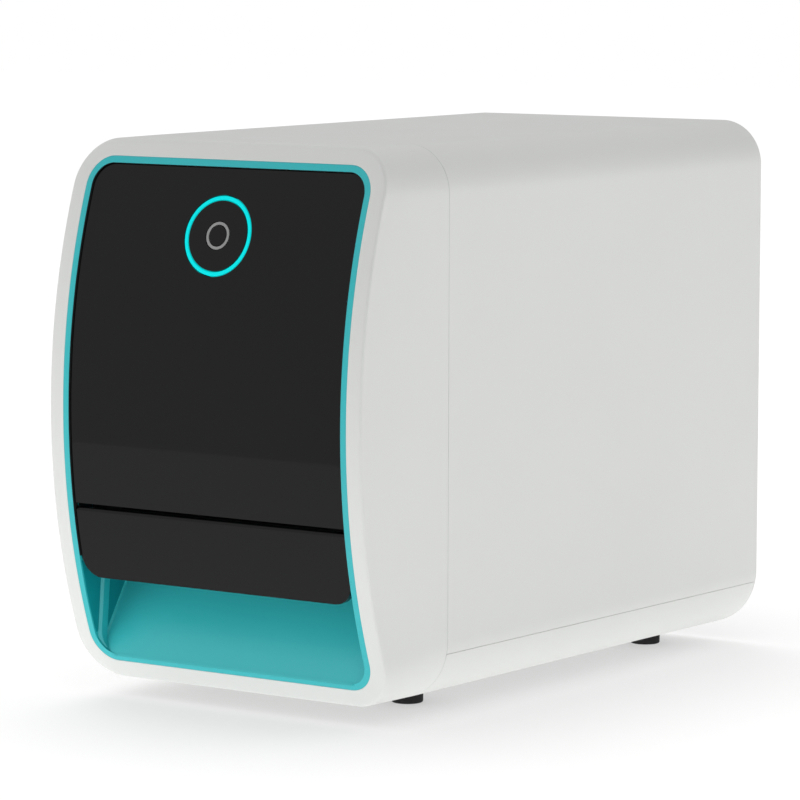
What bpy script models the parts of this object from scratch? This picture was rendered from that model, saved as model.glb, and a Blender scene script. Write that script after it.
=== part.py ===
# Desktop phosphor plate scanner.
# X points to the object's right, Y to its back, Z up. The origin is under the middle of its footprint.
import math

import bmesh
import bpy
from mathutils import Matrix, Vector

mm = 0.001

# Body shell
BODY_WIDTH = 146 * mm
BODY_HEIGHT = 197.9 * mm
BODY_DEPTH = 260 * mm
BODY_CORNER_RADIUS = 17 * mm
BODY_BASE_RADIUS = 22 * mm
FRONT_ARC_RADIUS = 244 * mm
FRONT_ARC_DROP = 99 * mm
BEZEL_LENGTH = 47 * mm
BEZEL_EDGE_RADIUS = 4 * mm
BEZEL_FACE_WALL = 3 * mm
SHELL_WALL = 2.6 * mm
SHELL_REAR_RADIUS = 1.5 * mm
BASE_TRAY_HEIGHT = 18.1 * mm
SEAM_GAP = 0.4 * mm
FIT_GAP = 0.3 * mm
TONGUE_LENGTH = 5 * mm
TONGUE_WALL = 1.4 * mm
TONGUE_ROOT = 7 * mm
LIP_HEIGHT = 4 * mm
LIP_ROOT = 4 * mm
LIP_WALL = 1.2 * mm

# Feet
FOOT_HEIGHT = 7.1 * mm
FOOT_RADIUS = 5.8 * mm
FOOT_EDGE = 0.6 * mm
FOOT_SIDE_INSET = 36.5 * mm
FOOT_FRONT_INSET = 27 * mm
FOOT_REAR_INSET = 24.5 * mm
FOOT_STEM_RADIUS = 2 * mm
FOOT_STEM_REACH = 2 * mm

# Teal liner with the exit pocket
LINER_SIDE_MARGIN = 10.2 * mm
LINER_TOP_MARGIN = 7.8 * mm
LINER_BOTTOM_MARGIN = 6.8 * mm
LINER_CORNER_RADIUS = 10.5 * mm
LINER_WALL = 2.4 * mm
LINER_LENGTH = 36 * mm
LINER_FLANGE = 3 * mm
LINER_FLANGE_WALL = 2 * mm
RAMP_ANGLE = math.radians(57.5)
RAMP_WALL = 2 * mm
RAMP_DROP = 1.3 * mm
FLAP_STOP_WIDTH = 2 * mm
FLAP_STOP_SIZE = 4 * mm

# Black front panels
FASCIA_GAP = 0.4 * mm
FASCIA_RECESS = 0.8 * mm
FASCIA_WALL = 2.5 * mm
SLOT_LEVEL = 72 * mm
SLOT_HEIGHT = 1.4 * mm
FLAP_BOTTOM_LEVEL = 45.3 * mm
FLAP_CORNER_RADIUS = 8 * mm
FLAP_AXIS_DEPTH = 3.5 * mm
FLAP_AXIS_DROP = 5 * mm
FLAP_NOSE_RADIUS = 1.25 * mm
FLAP_LUG_RADIUS = 2.6 * mm
FLAP_LUG_WIDTH = 3 * mm
FLAP_PIN_RADIUS = 1.2 * mm
FLAP_PIN_LENGTH = 2 * mm

# Start button and light ring
RING_DROP = 25.9 * mm
RING_RADIUS = 14.4 * mm
RING_WIDTH = 1.4 * mm
RING_LENGTH = 8.6 * mm
COLLAR_WALL = 2 * mm
BUTTON_WALL = 3 * mm
BUTTON_STEM_RADIUS = 3 * mm
BUTTON_STEM_LENGTH = 2.6 * mm
INLAY_RADIUS = 5 * mm
INLAY_WIDTH = 1.1 * mm
INLAY_DEPTH = 0.8 * mm
BOARD_WALL = 1.6 * mm
SWITCH_SIZE = 6 * mm
SWITCH_HEIGHT = 3 * mm
PLUNGER_RADIUS = 1.6 * mm
PLUNGER_LENGTH = 2.7 * mm
RING_LED_COUNT = 8
RING_LED_SIZE = 1.2 * mm

# Slot guide and light shutter
GUIDE_DEPTH = 13 * mm
GUIDE_SIDE_WALL = 14.1 * mm
GUIDE_LIP_WALL = 3.6 * mm
GUIDE_TOP_RISE = 9 * mm
SHUTTER_WALL = 1.2 * mm
SHUTTER_AXIS_RISE = 7 * mm
SHUTTER_AXIS_SETBACK = 1.6 * mm
SHUTTER_BARREL_RADIUS = 1.2 * mm
SHUTTER_STUB_LENGTH = 2.5 * mm
SHUTTER_EAR_WIDTH = 4 * mm

# Metal frame
STANDOFF_HEIGHT = 3 * mm
STANDOFF_RADIUS = 4 * mm
STANDOFF_SIDE_INSET = 10 * mm
STANDOFF_END_INSET = 5 * mm
CHASSIS_WALL = 1.5 * mm
CHASSIS_SIDE_GAP = 12.4 * mm
CHASSIS_FRONT_GAP = 5 * mm
CHASSIS_REAR_GAP = 15 * mm
BRACKET_WALL = 2 * mm
BRACKET_WINDOW_MARGIN = 8 * mm
BRACKET_HEADROOM = 12 * mm
SIDE_PLATE_WALL = 1.5 * mm
SIDE_PLATE_OVERHANG = 2 * mm

# Plate transport
TRAY_WIDTH = 66 * mm
TRAY_LENGTH = 50 * mm
TRAY_WALL = 1.5 * mm
TRAY_RIM = 2.5 * mm
TRAY_DROP = 0.85 * mm
TRAY_FRONT_GAP = 2 * mm
TRAY_AXIS_SETBACK = 3 * mm
TRAY_AXIS_DROP = 1 * mm
TRAY_LUG_RADIUS = 2.6 * mm
TRAY_LUG_WIDTH = 4 * mm
TRAY_PIN_RADIUS = 1 * mm
EAR_WIDTH = 3.5 * mm
CARRIAGE_SIDE_GAP = 5.2 * mm
CARRIAGE_LENGTH = 32 * mm
CARRIAGE_HEIGHT = 14 * mm
CARRIAGE_TOP_GAP = 4 * mm
CARRIAGE_NOSE = 6 * mm
SHELF_WALL = 2.5 * mm
ROD_RADIUS = 3 * mm
ROD_SIDE_INSET = 12.2 * mm
SCREW_RADIUS = 3 * mm
SCREW_DROP = 12 * mm
NUT_RADIUS = 5 * mm
NUT_FLANGE_RADIUS = 8 * mm
NUT_FLANGE_WALL = 2.5 * mm
NUT_ARM_WIDTH = 18 * mm
NUT_ARM_LENGTH = 14 * mm
BUSH_RADIUS = 5 * mm
BUSH_FLANGE = 1.5 * mm
MOTOR_SIZE = 35 * mm
MOTOR_LENGTH = 21 * mm
MOTOR_CHAMFER = 4.4 * mm
MOTOR_REAR_GAP = 2.5 * mm
MOTOR_BORE_DEPTH = 8 * mm
SPRING_RADIUS = 2.2 * mm
SPRING_WIRE_RADIUS = 0.35 * mm
SPRING_TURNS = 5
SPRING_SETBACK = 10 * mm

# Scan head
DECK_RISE = 27.5 * mm
DECK_WALL = 2.5 * mm
SCAN_LINE_SETBACK = 20 * mm
SCAN_WINDOW_INSET = 4 * mm
SCAN_WINDOW_LENGTH = 8 * mm
OPTICS_COVER_SHARE = 0.47
OPTICS_COVER_WALL = 1.2 * mm
OPTICS_COVER_MARGIN = 5 * mm
BEAM_RISE = 16 * mm
MIRROR_SIDE_GAP = 10 * mm
MIRROR_HEIGHT = 16 * mm
MIRROR_WALL = 2.5 * mm
MIRROR_MOUNT_WALL = 5 * mm
MIRROR_MOUNT_REACH = 11.2 * mm
LENS_SHARE = 0.26
LENS_INSET = 9 * mm
LENS_WALL = 8 * mm
LENS_HEIGHT = 12 * mm
LENS_BULGE = 5 * mm
LENS_SEAT_INSET = 1 * mm
POLYGON_RADIUS = 14 * mm
POLYGON_SIDES = 6
POLYGON_HEIGHT = 6 * mm
POLYGON_MOTOR_RADIUS = 13 * mm
LASER_SIDE_GAP = 2 * mm
LASER_RADIUS = 6 * mm
LASER_POLYGON_GAP = 12 * mm
COLLECTOR_INSET = 2 * mm
COLLECTOR_WALL = 10 * mm
COLLECTOR_CLEARANCE = 4 * mm
DETECTOR_WIDTH = 24 * mm
DETECTOR_LENGTH = 34 * mm
ERASER_WALL = 10 * mm
ERASER_HEIGHT = 12 * mm
ERASER_SETBACK = 17 * mm

# Circuit boards
MAIN_BOARD_RISE = 4.5 * mm
MAIN_BOARD_SIDE_GAP = 5 * mm
POWER_BOARD_INSET = 10 * mm
POWER_BOARD_LENGTH = 96 * mm
POWER_BOARD_RISE = 5 * mm
POST_RADIUS = 2.5 * mm
CHIP_SIZE = 18 * mm
CHIP_HEIGHT = 2.4 * mm
PLUG_HEIGHT = 6 * mm
CAN_RADIUS = 7 * mm
CAN_HEIGHT = 16 * mm
CAN_PITCH = 19 * mm
COIL_WIDTH = 40 * mm
COIL_LENGTH = 22 * mm

# Rear panel and what it carries
PANEL_WALL = 2.5 * mm
PANEL_RECESS = 3.5 * mm
PANEL_GAP = 0.4 * mm
BOSS_RADIUS = 4 * mm
BOSS_LENGTH = 14 * mm
BOSS_SINK = 1 * mm
SCREW_SHANK_RADIUS = 1.3 * mm
SCREW_HEAD_RADIUS = 2.8 * mm
SCREW_HEAD_HEIGHT = 1.8 * mm
PANEL_SCREW_REACH = 6.5 * mm
CHASSIS_SCREW_REACH = 4.4 * mm
FAN_SIZE = 40 * mm
FAN_WALL = 10 * mm
FAN_SIDE_INSET = 43 * mm
FAN_DROP = 40 * mm
FAN_BORE_RADIUS = 18.7 * mm
FAN_HUB_RADIUS = 8 * mm
FAN_TIP_GAP = 0.8 * mm
FAN_BLADES = 7
FAN_BLADE_WALL = 1.3 * mm
FAN_STRUT = 4 * mm
FAN_STRUT_WALL = 1.6 * mm
FAN_PITCH = math.radians(50)
VENT_SLOTS = 6
VENT_HEIGHT = 2.4 * mm
VENT_PITCH = 5.2 * mm
VENT_WIDTH = 34 * mm
SOCKET_LEVEL = 46 * mm
SOCKET_DEPTH = 14 * mm
SOCKET_FLOOR = 4.5 * mm
JACK_MOTOR_GAP = 5.5 * mm
JACK_SIZE = 10 * mm
JACK_BORE_RADIUS = 3.1 * mm
JACK_PIN_RADIUS = 1 * mm
DATA_JACK_GAP = 8 * mm
DATA_WIDTH = 12 * mm
DATA_HEIGHT = 11 * mm
DATA_OPENING_WIDTH = 8.4 * mm
DATA_OPENING_HEIGHT = 7.6 * mm
DATA_TONGUE_WIDTH = 5.4 * mm
DATA_TONGUE_HEIGHT = 3.2 * mm
ROCKER_SIDE_INSET = 33 * mm
ROCKER_LEVEL = 80 * mm
ROCKER_WIDTH = 9 * mm
ROCKER_HEIGHT = 16 * mm
ROCKER_TILT = math.radians(12)
ROCKER_BODY_DEPTH = 14 * mm
ROCKER_SWING_GAP = 0.9 * mm
ROCKER_FRAME_MARGIN = 3 * mm
ROCKER_FLANGE = 1.2 * mm
FLANGE_OVERLAP = 1.5 * mm

# Fineness of the round shapes
CORNER_STEPS = 8
SIDE_STEPS = 16
EDGE_STEPS = 4
ROUND_SIDES = 32
SHAFT_SIDES = 24
SMALL_SIDES = 16
COIL_SIDES = 10
CUT_EXTRA = 1 * mm

# Places worked out from the sizes
half_width = BODY_WIDTH / 2
floor_z = FOOT_HEIGHT
inner_floor_z = FOOT_HEIGHT + SHELL_WALL
top_z = FOOT_HEIGHT + BODY_HEIGHT
front_y = -BODY_DEPTH / 2
rear_y = BODY_DEPTH / 2
seam_y = front_y + BEZEL_LENGTH
base_top_z = floor_z + BASE_TRAY_HEIGHT
arc_y = front_y + FRONT_ARC_RADIUS
arc_z = top_z - FRONT_ARC_DROP
panel_rear_y = rear_y - PANEL_RECESS
panel_front_y = panel_rear_y - PANEL_WALL
liner_half = half_width - LINER_SIDE_MARGIN
liner_low_z = floor_z + LINER_BOTTOM_MARGIN
liner_high_z = top_z - LINER_TOP_MARGIN
liner_back_y = front_y + LINER_LENGTH
pocket_half = liner_half - LINER_WALL
pocket_low_z = liner_low_z + LINER_WALL
guide_half = pocket_half - FIT_GAP
channel_half = guide_half - GUIDE_SIDE_WALL
fascia_half = pocket_half - FASCIA_GAP
fascia_back = FASCIA_RECESS + FASCIA_WALL
slot_low_z = SLOT_LEVEL - SLOT_HEIGHT / 2
slot_high_z = SLOT_LEVEL + SLOT_HEIGHT / 2
chassis_z = inner_floor_z + STANDOFF_HEIGHT + FIT_GAP
chassis_top_z = chassis_z + CHASSIS_WALL
frame_z = chassis_top_z + FIT_GAP
chassis_half = half_width - SHELL_WALL - CHASSIS_SIDE_GAP
chassis_front_y = seam_y + CHASSIS_FRONT_GAP
chassis_rear_y = panel_front_y - CHASSIS_REAR_GAP
tray_top_z = slot_low_z - TRAY_DROP
tray_low_z = tray_top_z - TRAY_WALL
tray_front_y = liner_back_y + TRAY_FRONT_GAP
tray_rear_y = tray_front_y + TRAY_LENGTH
tray_axis = Vector((0, tray_rear_y + TRAY_AXIS_SETBACK, tray_low_z - TRAY_AXIS_DROP))
carriage_front_y = tray_axis.y - CARRIAGE_NOSE
carriage_rear_y = carriage_front_y + CARRIAGE_LENGTH
carriage_high_z = tray_low_z - CARRIAGE_TOP_GAP
carriage_low_z = carriage_high_z - CARRIAGE_HEIGHT
rod_z = (carriage_high_z + carriage_low_z) / 2
screw_z = carriage_low_z - SCREW_DROP
front_bracket_y = carriage_front_y - CARRIAGE_NOSE
motor_y = panel_front_y - MOTOR_REAR_GAP - MOTOR_LENGTH
rear_bracket_y = motor_y - FIT_GAP - BRACKET_WALL
bracket_half = chassis_half - FIT_GAP - SIDE_PLATE_WALL
deck_z = tray_top_z + DECK_RISE
deck_top_z = deck_z + DECK_WALL
optics_z = deck_top_z + FIT_GAP
deck_front_y = front_bracket_y - SIDE_PLATE_OVERHANG
deck_rear_y = rear_bracket_y + BRACKET_WALL + SIDE_PLATE_OVERHANG
scan_y = tray_axis.y + SCAN_LINE_SETBACK
beam_z = deck_top_z + BEAM_RISE
cover_top_z = optics_z + OPTICS_COVER_SHARE * (top_z - SHELL_WALL - optics_z)
cover_half = chassis_half - OPTICS_COVER_MARGIN
cover_y = (deck_front_y + OPTICS_COVER_MARGIN, deck_rear_y - OPTICS_COVER_MARGIN)
mirror_half = cover_half - MIRROR_MOUNT_WALL - MIRROR_SIDE_GAP
lens_y = scan_y + LENS_SHARE * (cover_y[1] - scan_y)
lens_z = beam_z - LENS_HEIGHT / 2
polygon_y = (lens_y + LENS_WALL + LENS_BULGE + cover_y[1]) / 2
fan_x = half_width - FAN_SIDE_INSET
jack_x = -MOTOR_SIZE / 2 - JACK_MOTOR_GAP - JACK_SIZE / 2
data_x = jack_x - (JACK_SIZE + DATA_WIDTH) / 2 - DATA_JACK_GAP
rocker_x = ROCKER_SIDE_INSET - half_width
fan_z = top_z - FAN_DROP
screw_hole_radius = SCREW_SHANK_RADIUS + FIT_GAP
rod_places = (ROD_SIDE_INSET - bracket_half, bracket_half - ROD_SIDE_INSET)

# Colour, metallic and roughness of each material
FINISHES = {
    "white_shell": ((0.72, 0.73, 0.71), 0.0, 0.45),
    "teal_plastic": ((0.03, 0.40, 0.43), 0.0, 0.35),
    "black_gloss": ((0.015, 0.015, 0.016), 0.0, 0.12),
    "black_matte": ((0.02, 0.02, 0.02), 0.0, 0.6),
    "cyan_light": ((0.0, 0.85, 0.9), 0.0, 0.3),
    "grey_inlay": ((0.35, 0.36, 0.36), 0.3, 0.35),
    "rubber": ((0.02, 0.02, 0.02), 0.0, 0.85),
    "sheet_steel": ((0.55, 0.56, 0.58), 1.0, 0.4),
    "ground_steel": ((0.68, 0.69, 0.71), 1.0, 0.2),
    "zinc_screw": ((0.5, 0.5, 0.52), 1.0, 0.35),
    "brass": ((0.75, 0.56, 0.25), 1.0, 0.3),
    "grey_casting": ((0.45, 0.46, 0.48), 0.9, 0.5),
    "white_nylon": ((0.75, 0.75, 0.72), 0.0, 0.5),
    "lens_glass": ((0.85, 0.9, 0.92), 0.0, 0.05),
    "mirror": ((0.9, 0.9, 0.92), 1.0, 0.03),
    "circuit_green": ((0.03, 0.2, 0.08), 0.0, 0.5),
    "led_white": ((0.85, 0.85, 0.8), 0.0, 0.3),
}


for leftover in list(bpy.data.objects):
    bpy.data.objects.remove(leftover, do_unlink=True)


def finish(slot):
    found = bpy.data.materials.get(slot)
    if found:
        return found
    colour, metallic, roughness = FINISHES[slot]
    material = bpy.data.materials.new(slot)
    material.use_nodes = True
    shader = material.node_tree.nodes["Principled BSDF"]
    shader.inputs["Base Color"].default_value = (*colour, 1.0)
    shader.inputs["Metallic"].default_value = metallic
    shader.inputs["Roughness"].default_value = roughness
    return material


# Raw shapes, made in world space
def raw(bm):
    bmesh.ops.recalc_face_normals(bm, faces=bm.faces)
    mesh = bpy.data.meshes.new("shape")
    bm.to_mesh(mesh)
    bm.free()
    shape = bpy.data.objects.new("shape", mesh)
    bpy.context.collection.objects.link(shape)
    return shape


def block(x, y, z):
    bm = bmesh.new()
    bmesh.ops.create_cube(bm, size=1.0)
    size = Vector((x[1] - x[0], y[1] - y[0], z[1] - z[0]))
    middle = Vector((x[0] + x[1], y[0] + y[1], z[0] + z[1])) / 2
    bmesh.ops.scale(bm, vec=size, verts=bm.verts)
    bmesh.ops.translate(bm, vec=middle, verts=bm.verts)
    return raw(bm)


def extruded(points, direction):
    bm = bmesh.new()
    face = bm.faces.new([bm.verts.new(point) for point in points])
    grown = bmesh.ops.extrude_face_region(bm, geom=[face])
    moved = [item for item in grown["geom"] if isinstance(item, bmesh.types.BMVert)]
    bmesh.ops.translate(bm, vec=direction, verts=moved)
    return raw(bm)


def prism_x(points, x):
    return extruded([(x[0], a, b) for a, b in points], (x[1] - x[0], 0, 0))


def prism_y(points, y):
    return extruded([(a, y[0], b) for a, b in points], (0, y[1] - y[0], 0))


def prism_z(points, z):
    return extruded([(a, b, z[0]) for a, b in points], (0, 0, z[1] - z[0]))


def cylinder(start, end, radius, sides=SMALL_SIDES):
    start = Vector(start)
    end = Vector(end)
    along = end - start
    turn = along.to_track_quat("Z", "X").to_matrix().to_4x4()
    bm = bmesh.new()
    bmesh.ops.create_cone(
        bm,
        cap_ends=True,
        segments=sides,
        radius1=radius,
        radius2=radius,
        depth=along.length,
        matrix=Matrix.Translation((start + end) / 2) @ turn,
    )
    return raw(bm)


def shaft_x(reach, y, z, radius, sides=SMALL_SIDES):
    return cylinder((-reach, y, z), (reach, y, z), radius, sides)


def shaft_y(x, ends, z, radius, sides=SHAFT_SIDES):
    return cylinder((x, ends[0], z), (x, ends[1], z), radius, sides)


def shaft_z(x, y, ends, radius, sides=SMALL_SIDES):
    return cylinder((x, y, ends[0]), (x, y, ends[1]), radius, sides)


def loft(rings):
    # Closed rings with equal point counts. Each is drawn out of the one before, and the last meets the first.
    bm = bmesh.new()
    corners = [bm.verts.new(point) for point in rings[0]]
    edges = [bm.edges.new(pair) for pair in zip(corners, corners[1:] + corners[:1])]
    for ring in rings[1:] + rings[:1]:
        grown = bmesh.ops.extrude_edge_only(bm, edges=edges)["geom"]
        fresh = {item for item in grown if isinstance(item, bmesh.types.BMVert)}
        moved = []
        for corner, point in zip(corners, ring):
            neighbours = [edge.other_vert(corner) for edge in corner.link_edges]
            copy = next(vert for vert in neighbours if vert in fresh)
            copy.co = point
            moved.append(copy)
        corners = moved
        edges = [bm.edges.get(pair) for pair in zip(corners, corners[1:] + corners[:1])]
    bmesh.ops.remove_doubles(bm, verts=bm.verts, dist=1e-6)
    return raw(bm)


def turned(profile, base, axis, sides=SMALL_SIDES):
    # A profile of radius and height pairs that starts and ends on the axis.
    turn = Vector(axis).to_track_quat("Z", "X").to_matrix().to_4x4()
    bm = bmesh.new()
    points = [bm.verts.new((radius, 0, height)) for radius, height in profile]
    edges = [bm.edges.new(pair) for pair in zip(points, points[1:])]
    bmesh.ops.spin(
        bm,
        geom=points + edges,
        axis=(0, 0, 1),
        cent=(0, 0, 0),
        angle=2 * math.pi,
        steps=sides,
        use_merge=True,
    )
    bmesh.ops.remove_doubles(bm, verts=bm.verts, dist=1e-6)
    bmesh.ops.transform(bm, matrix=Matrix.Translation(base) @ turn, verts=bm.verts)
    return raw(bm)


def combine(shape, other, operation):
    step = shape.modifiers.new("step", "BOOLEAN")
    step.object = other
    step.operation = operation
    step.solver = "EXACT"
    bpy.context.view_layer.update()
    graph = bpy.context.evaluated_depsgraph_get()
    result = bpy.data.meshes.new_from_object(shape.evaluated_get(graph))
    shape.modifiers.clear()
    shape.data = result
    bpy.data.objects.remove(other, do_unlink=True)


def join(shape, *others):
    for other in others:
        combine(shape, other, "UNION")
    return shape


def cut(shape, *others):
    for other in others:
        combine(shape, other, "DIFFERENCE")
    return shape


def keep(shape, other):
    combine(shape, other, "INTERSECT")
    return shape


# Moving groups, each an empty at its joint, and the named pieces on them
groups = {}


def group(name, frame, parent=None):
    empty = bpy.data.objects.new(name + "_frame", None)
    bpy.context.collection.objects.link(empty)
    if parent:
        holder, holder_frame = groups[parent]
        empty.parent = holder
        empty.matrix_local = holder_frame.inverted() @ frame
    groups[name] = (empty, frame)


def piece(name, shape, slot, parent="housing", centre=None):
    # The origin goes to centre, or to the group's joint.
    holder, holder_frame = groups[parent]
    frame = holder_frame.copy()
    if centre is not None:
        frame.translation = Vector(centre)
    shape.name = name
    shape.data.name = name
    shape.data.transform(frame.inverted())
    shape.data.materials.clear()
    shape.data.materials.append(finish(slot))
    shape.data.shade_smooth()
    shape.data.set_sharp_from_angle(angle=math.radians(32))
    shape.parent = holder
    shape.matrix_local = holder_frame.inverted() @ frame


# The bulging front
def front_at(z, depth=0.0):
    return arc_y - math.sqrt((FRONT_ARC_RADIUS - depth) ** 2 - (z - arc_z) ** 2)


def outline(half, low, high, low_radius, high_radius, side_steps=1):
    # A rounded rectangle as (x, z) points, with side_steps along each upright side.
    points = []
    corners = ((half, low, -90), (half, high, 0), (-half, high, 90), (-half, low, 180))
    for x, z, start in corners:
        radius = low_radius if z == low else high_radius
        centre_x = x - math.copysign(radius, x)
        centre_z = z + radius if z == low else z - radius
        for step in range(CORNER_STEPS + 1):
            angle = math.radians(start + 90 * step / CORNER_STEPS)
            points.append((centre_x + radius * math.cos(angle), centre_z + radius * math.sin(angle)))
        if start in (-90, 90):
            first = points[-1][1]
            last = high - high_radius if start == -90 else low + low_radius
            for step in range(1, side_steps):
                points.append((x, first + (last - first) * step / side_steps))
    return points


def body_outline(inset, side_steps=1):
    low_radius = BODY_BASE_RADIUS - inset
    high_radius = BODY_CORNER_RADIUS - inset
    return outline(half_width - inset, floor_z + inset, top_z - inset, low_radius, high_radius, side_steps)


def liner_outline(growth, side_steps=1):
    radius = LINER_CORNER_RADIUS + growth
    return outline(liner_half + growth, liner_low_z - growth, liner_high_z + growth, radius, radius, side_steps)


def at_depth(points, depth):
    return [(x, front_at(z, depth), z) for x, z in points]


def at_y(points, y):
    return [(x, y, z) for x, z in points]


def front_slab(depths, levels):
    # A curved slice of the front between two depths and two levels.
    steps = [levels[0] + (levels[1] - levels[0]) * k / SIDE_STEPS for k in range(SIDE_STEPS + 1)]
    points = [(front_at(z, depths[0]), z) for z in steps]
    points += [(front_at(z, depths[1]), z) for z in reversed(steps)]
    return prism_x(points, (-half_width, half_width))


def rounded_edge(radius):
    # How far in and how far forward a rounded edge is, step by step.
    angles = [math.pi / 2 * step / EDGE_STEPS for step in range(EDGE_STEPS + 1)]
    return [(radius * (1 - math.cos(angle)), radius * (1 - math.sin(angle))) for angle in angles]


# Shell
def make_front_bezel():
    rings = [at_y(body_outline(0, SIDE_STEPS), seam_y - SEAM_GAP / 2)]
    for inset, depth in rounded_edge(BEZEL_EDGE_RADIUS):
        rings.append(at_depth(body_outline(inset, SIDE_STEPS), depth))
    rings.append(at_depth(liner_outline(FIT_GAP, SIDE_STEPS), 0))
    rings.append(at_depth(liner_outline(FIT_GAP, SIDE_STEPS), BEZEL_FACE_WALL))
    rings.append(at_depth(body_outline(SHELL_WALL, SIDE_STEPS), BEZEL_FACE_WALL))
    rings.append(at_y(body_outline(SHELL_WALL, SIDE_STEPS), seam_y - SEAM_GAP / 2))
    piece("front_bezel", loft(rings), "white_shell", centre=(0, seam_y, floor_z))


def shell_tube():
    tongue_outer = SHELL_WALL + FIT_GAP
    tongue_inner = tongue_outer + TONGUE_WALL
    start = seam_y + SEAM_GAP / 2
    rings = [at_y(body_outline(0), start)]
    for inset, back in rounded_edge(SHELL_REAR_RADIUS):
        rings.append(at_y(body_outline(inset), rear_y - back))
    rings.append(at_y(body_outline(SHELL_WALL), rear_y))
    rings.append(at_y(body_outline(SHELL_WALL), seam_y + TONGUE_ROOT + TONGUE_WALL))
    rings.append(at_y(body_outline(tongue_inner), seam_y + TONGUE_ROOT))
    rings.append(at_y(body_outline(tongue_inner), seam_y - TONGUE_LENGTH))
    rings.append(at_y(body_outline(tongue_outer), seam_y - TONGUE_LENGTH))
    rings.append(at_y(body_outline(tongue_outer), start))
    return loft(rings)


def panel_screw_places():
    low_x = half_width - BODY_BASE_RADIUS
    high_x = half_width - BODY_CORNER_RADIUS
    low = inner_floor_z + BOSS_RADIUS - BOSS_SINK
    high = top_z - SHELL_WALL - BOSS_RADIUS + BOSS_SINK
    return [(-low_x, low), (low_x, low), (-high_x, high), (high_x, high)]


def add_bosses(shape, places):
    end = panel_front_y - FIT_GAP
    for x, z in places:
        join(shape, shaft_y(x, (end - BOSS_LENGTH, end), z, BOSS_RADIUS, SMALL_SIDES))
        cut(shape, shaft_y(x, (end - PANEL_SCREW_REACH, end + CUT_EXTRA), z, screw_hole_radius, SMALL_SIDES))


def make_rear_cover():
    across = (-BODY_WIDTH, BODY_WIDTH)
    above = (base_top_z + SEAM_GAP / 2, top_z + CUT_EXTRA)
    shape = keep(shell_tube(), block(across, (front_y, rear_y + CUT_EXTRA), above))
    add_bosses(shape, panel_screw_places()[2:])
    piece("rear_cover", shape, "white_shell", centre=(0, seam_y, floor_z))


def foot_places():
    front = seam_y + FOOT_FRONT_INSET
    rear = rear_y - FOOT_REAR_INSET
    side = half_width - FOOT_SIDE_INSET
    return {
        "foot_front_left": (-side, front),
        "foot_front_right": (side, front),
        "foot_rear_left": (-side, rear),
        "foot_rear_right": (side, rear),
    }


def standoff_places():
    side = chassis_half - STANDOFF_SIDE_INSET
    ends = (chassis_front_y + STANDOFF_END_INSET, chassis_rear_y - STANDOFF_END_INSET)
    return [(x, y) for x in (-side, side) for y in ends]


def inner_wall_at(z):
    radius = BODY_BASE_RADIUS - SHELL_WALL
    rise = max(floor_z + BODY_BASE_RADIUS - z, 0)
    return half_width - BODY_BASE_RADIUS + math.sqrt(radius**2 - rise**2)


def make_base_tray():
    across = (-BODY_WIDTH, BODY_WIDTH)
    under = (floor_z - CUT_EXTRA, base_top_z - SEAM_GAP / 2)
    shape = keep(shell_tube(), block(across, (front_y, rear_y + CUT_EXTRA), under))
    root_z = base_top_z - LIP_ROOT
    ledge_z = base_top_z - 2 * SEAM_GAP
    face = inner_wall_at(base_top_z) - FIT_GAP
    inner = face - LIP_WALL
    rail = [
        (inner_wall_at(root_z) + FIT_GAP, root_z),
        (inner_wall_at(ledge_z) + FIT_GAP, ledge_z),
        (face, base_top_z - SEAM_GAP),
        (face, base_top_z + LIP_HEIGHT),
        (inner, base_top_z + LIP_HEIGHT),
        (inner, root_z),
    ]
    rail_ends = (seam_y + TONGUE_ROOT + 2 * TONGUE_WALL, panel_front_y - FIT_GAP)
    for side in (-1, 1):
        join(shape, prism_y([(side * x, z) for x, z in rail], rail_ends))
    for x, y in standoff_places():
        join(shape, shaft_z(x, y, (floor_z + SHELL_WALL / 2, chassis_z - FIT_GAP), STANDOFF_RADIUS))
        cut(shape, shaft_z(x, y, (inner_floor_z, chassis_z), screw_hole_radius))
    add_bosses(shape, panel_screw_places()[:2])
    through = (floor_z - CUT_EXTRA, inner_floor_z + CUT_EXTRA)
    for x, y in foot_places().values():
        cut(shape, shaft_z(x, y, through, FOOT_STEM_RADIUS + FIT_GAP))
    middle = (seam_y + rear_y) / 2
    for y in vent_levels(middle):
        slot_y = (y - VENT_HEIGHT / 2, y + VENT_HEIGHT / 2)
        cut(shape, block((-VENT_WIDTH / 2, VENT_WIDTH / 2), slot_y, through))
    piece("base_tray", shape, "white_shell", centre=(0, seam_y, floor_z))


def vent_levels(middle):
    return [middle + VENT_PITCH * (step - (VENT_SLOTS - 1) / 2) for step in range(VENT_SLOTS)]


def make_feet():
    top = floor_z - FIT_GAP
    stem_top = inner_floor_z + FOOT_STEM_REACH
    profile = [
        (0, 0),
        (FOOT_RADIUS - FOOT_EDGE, 0),
        (FOOT_RADIUS, FOOT_EDGE),
        (FOOT_RADIUS, top),
        (FOOT_STEM_RADIUS, top),
        (FOOT_STEM_RADIUS, stem_top),
        (0, stem_top),
    ]
    for name, (x, y) in foot_places().items():
        piece(name, turned(profile, (x, y, 0), (0, 0, 1), SHAFT_SIDES), "rubber", centre=(x, y, 0))


# Teal liner, ramp and pocket
def ramp_at(z):
    return front_at(pocket_low_z) + (z - pocket_low_z) / math.tan(RAMP_ANGLE)


def flap_axis():
    z = slot_low_z - FLAP_AXIS_DROP
    return Vector((0, front_at(z, FASCIA_RECESS) + FLAP_AXIS_DEPTH, z))


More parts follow.
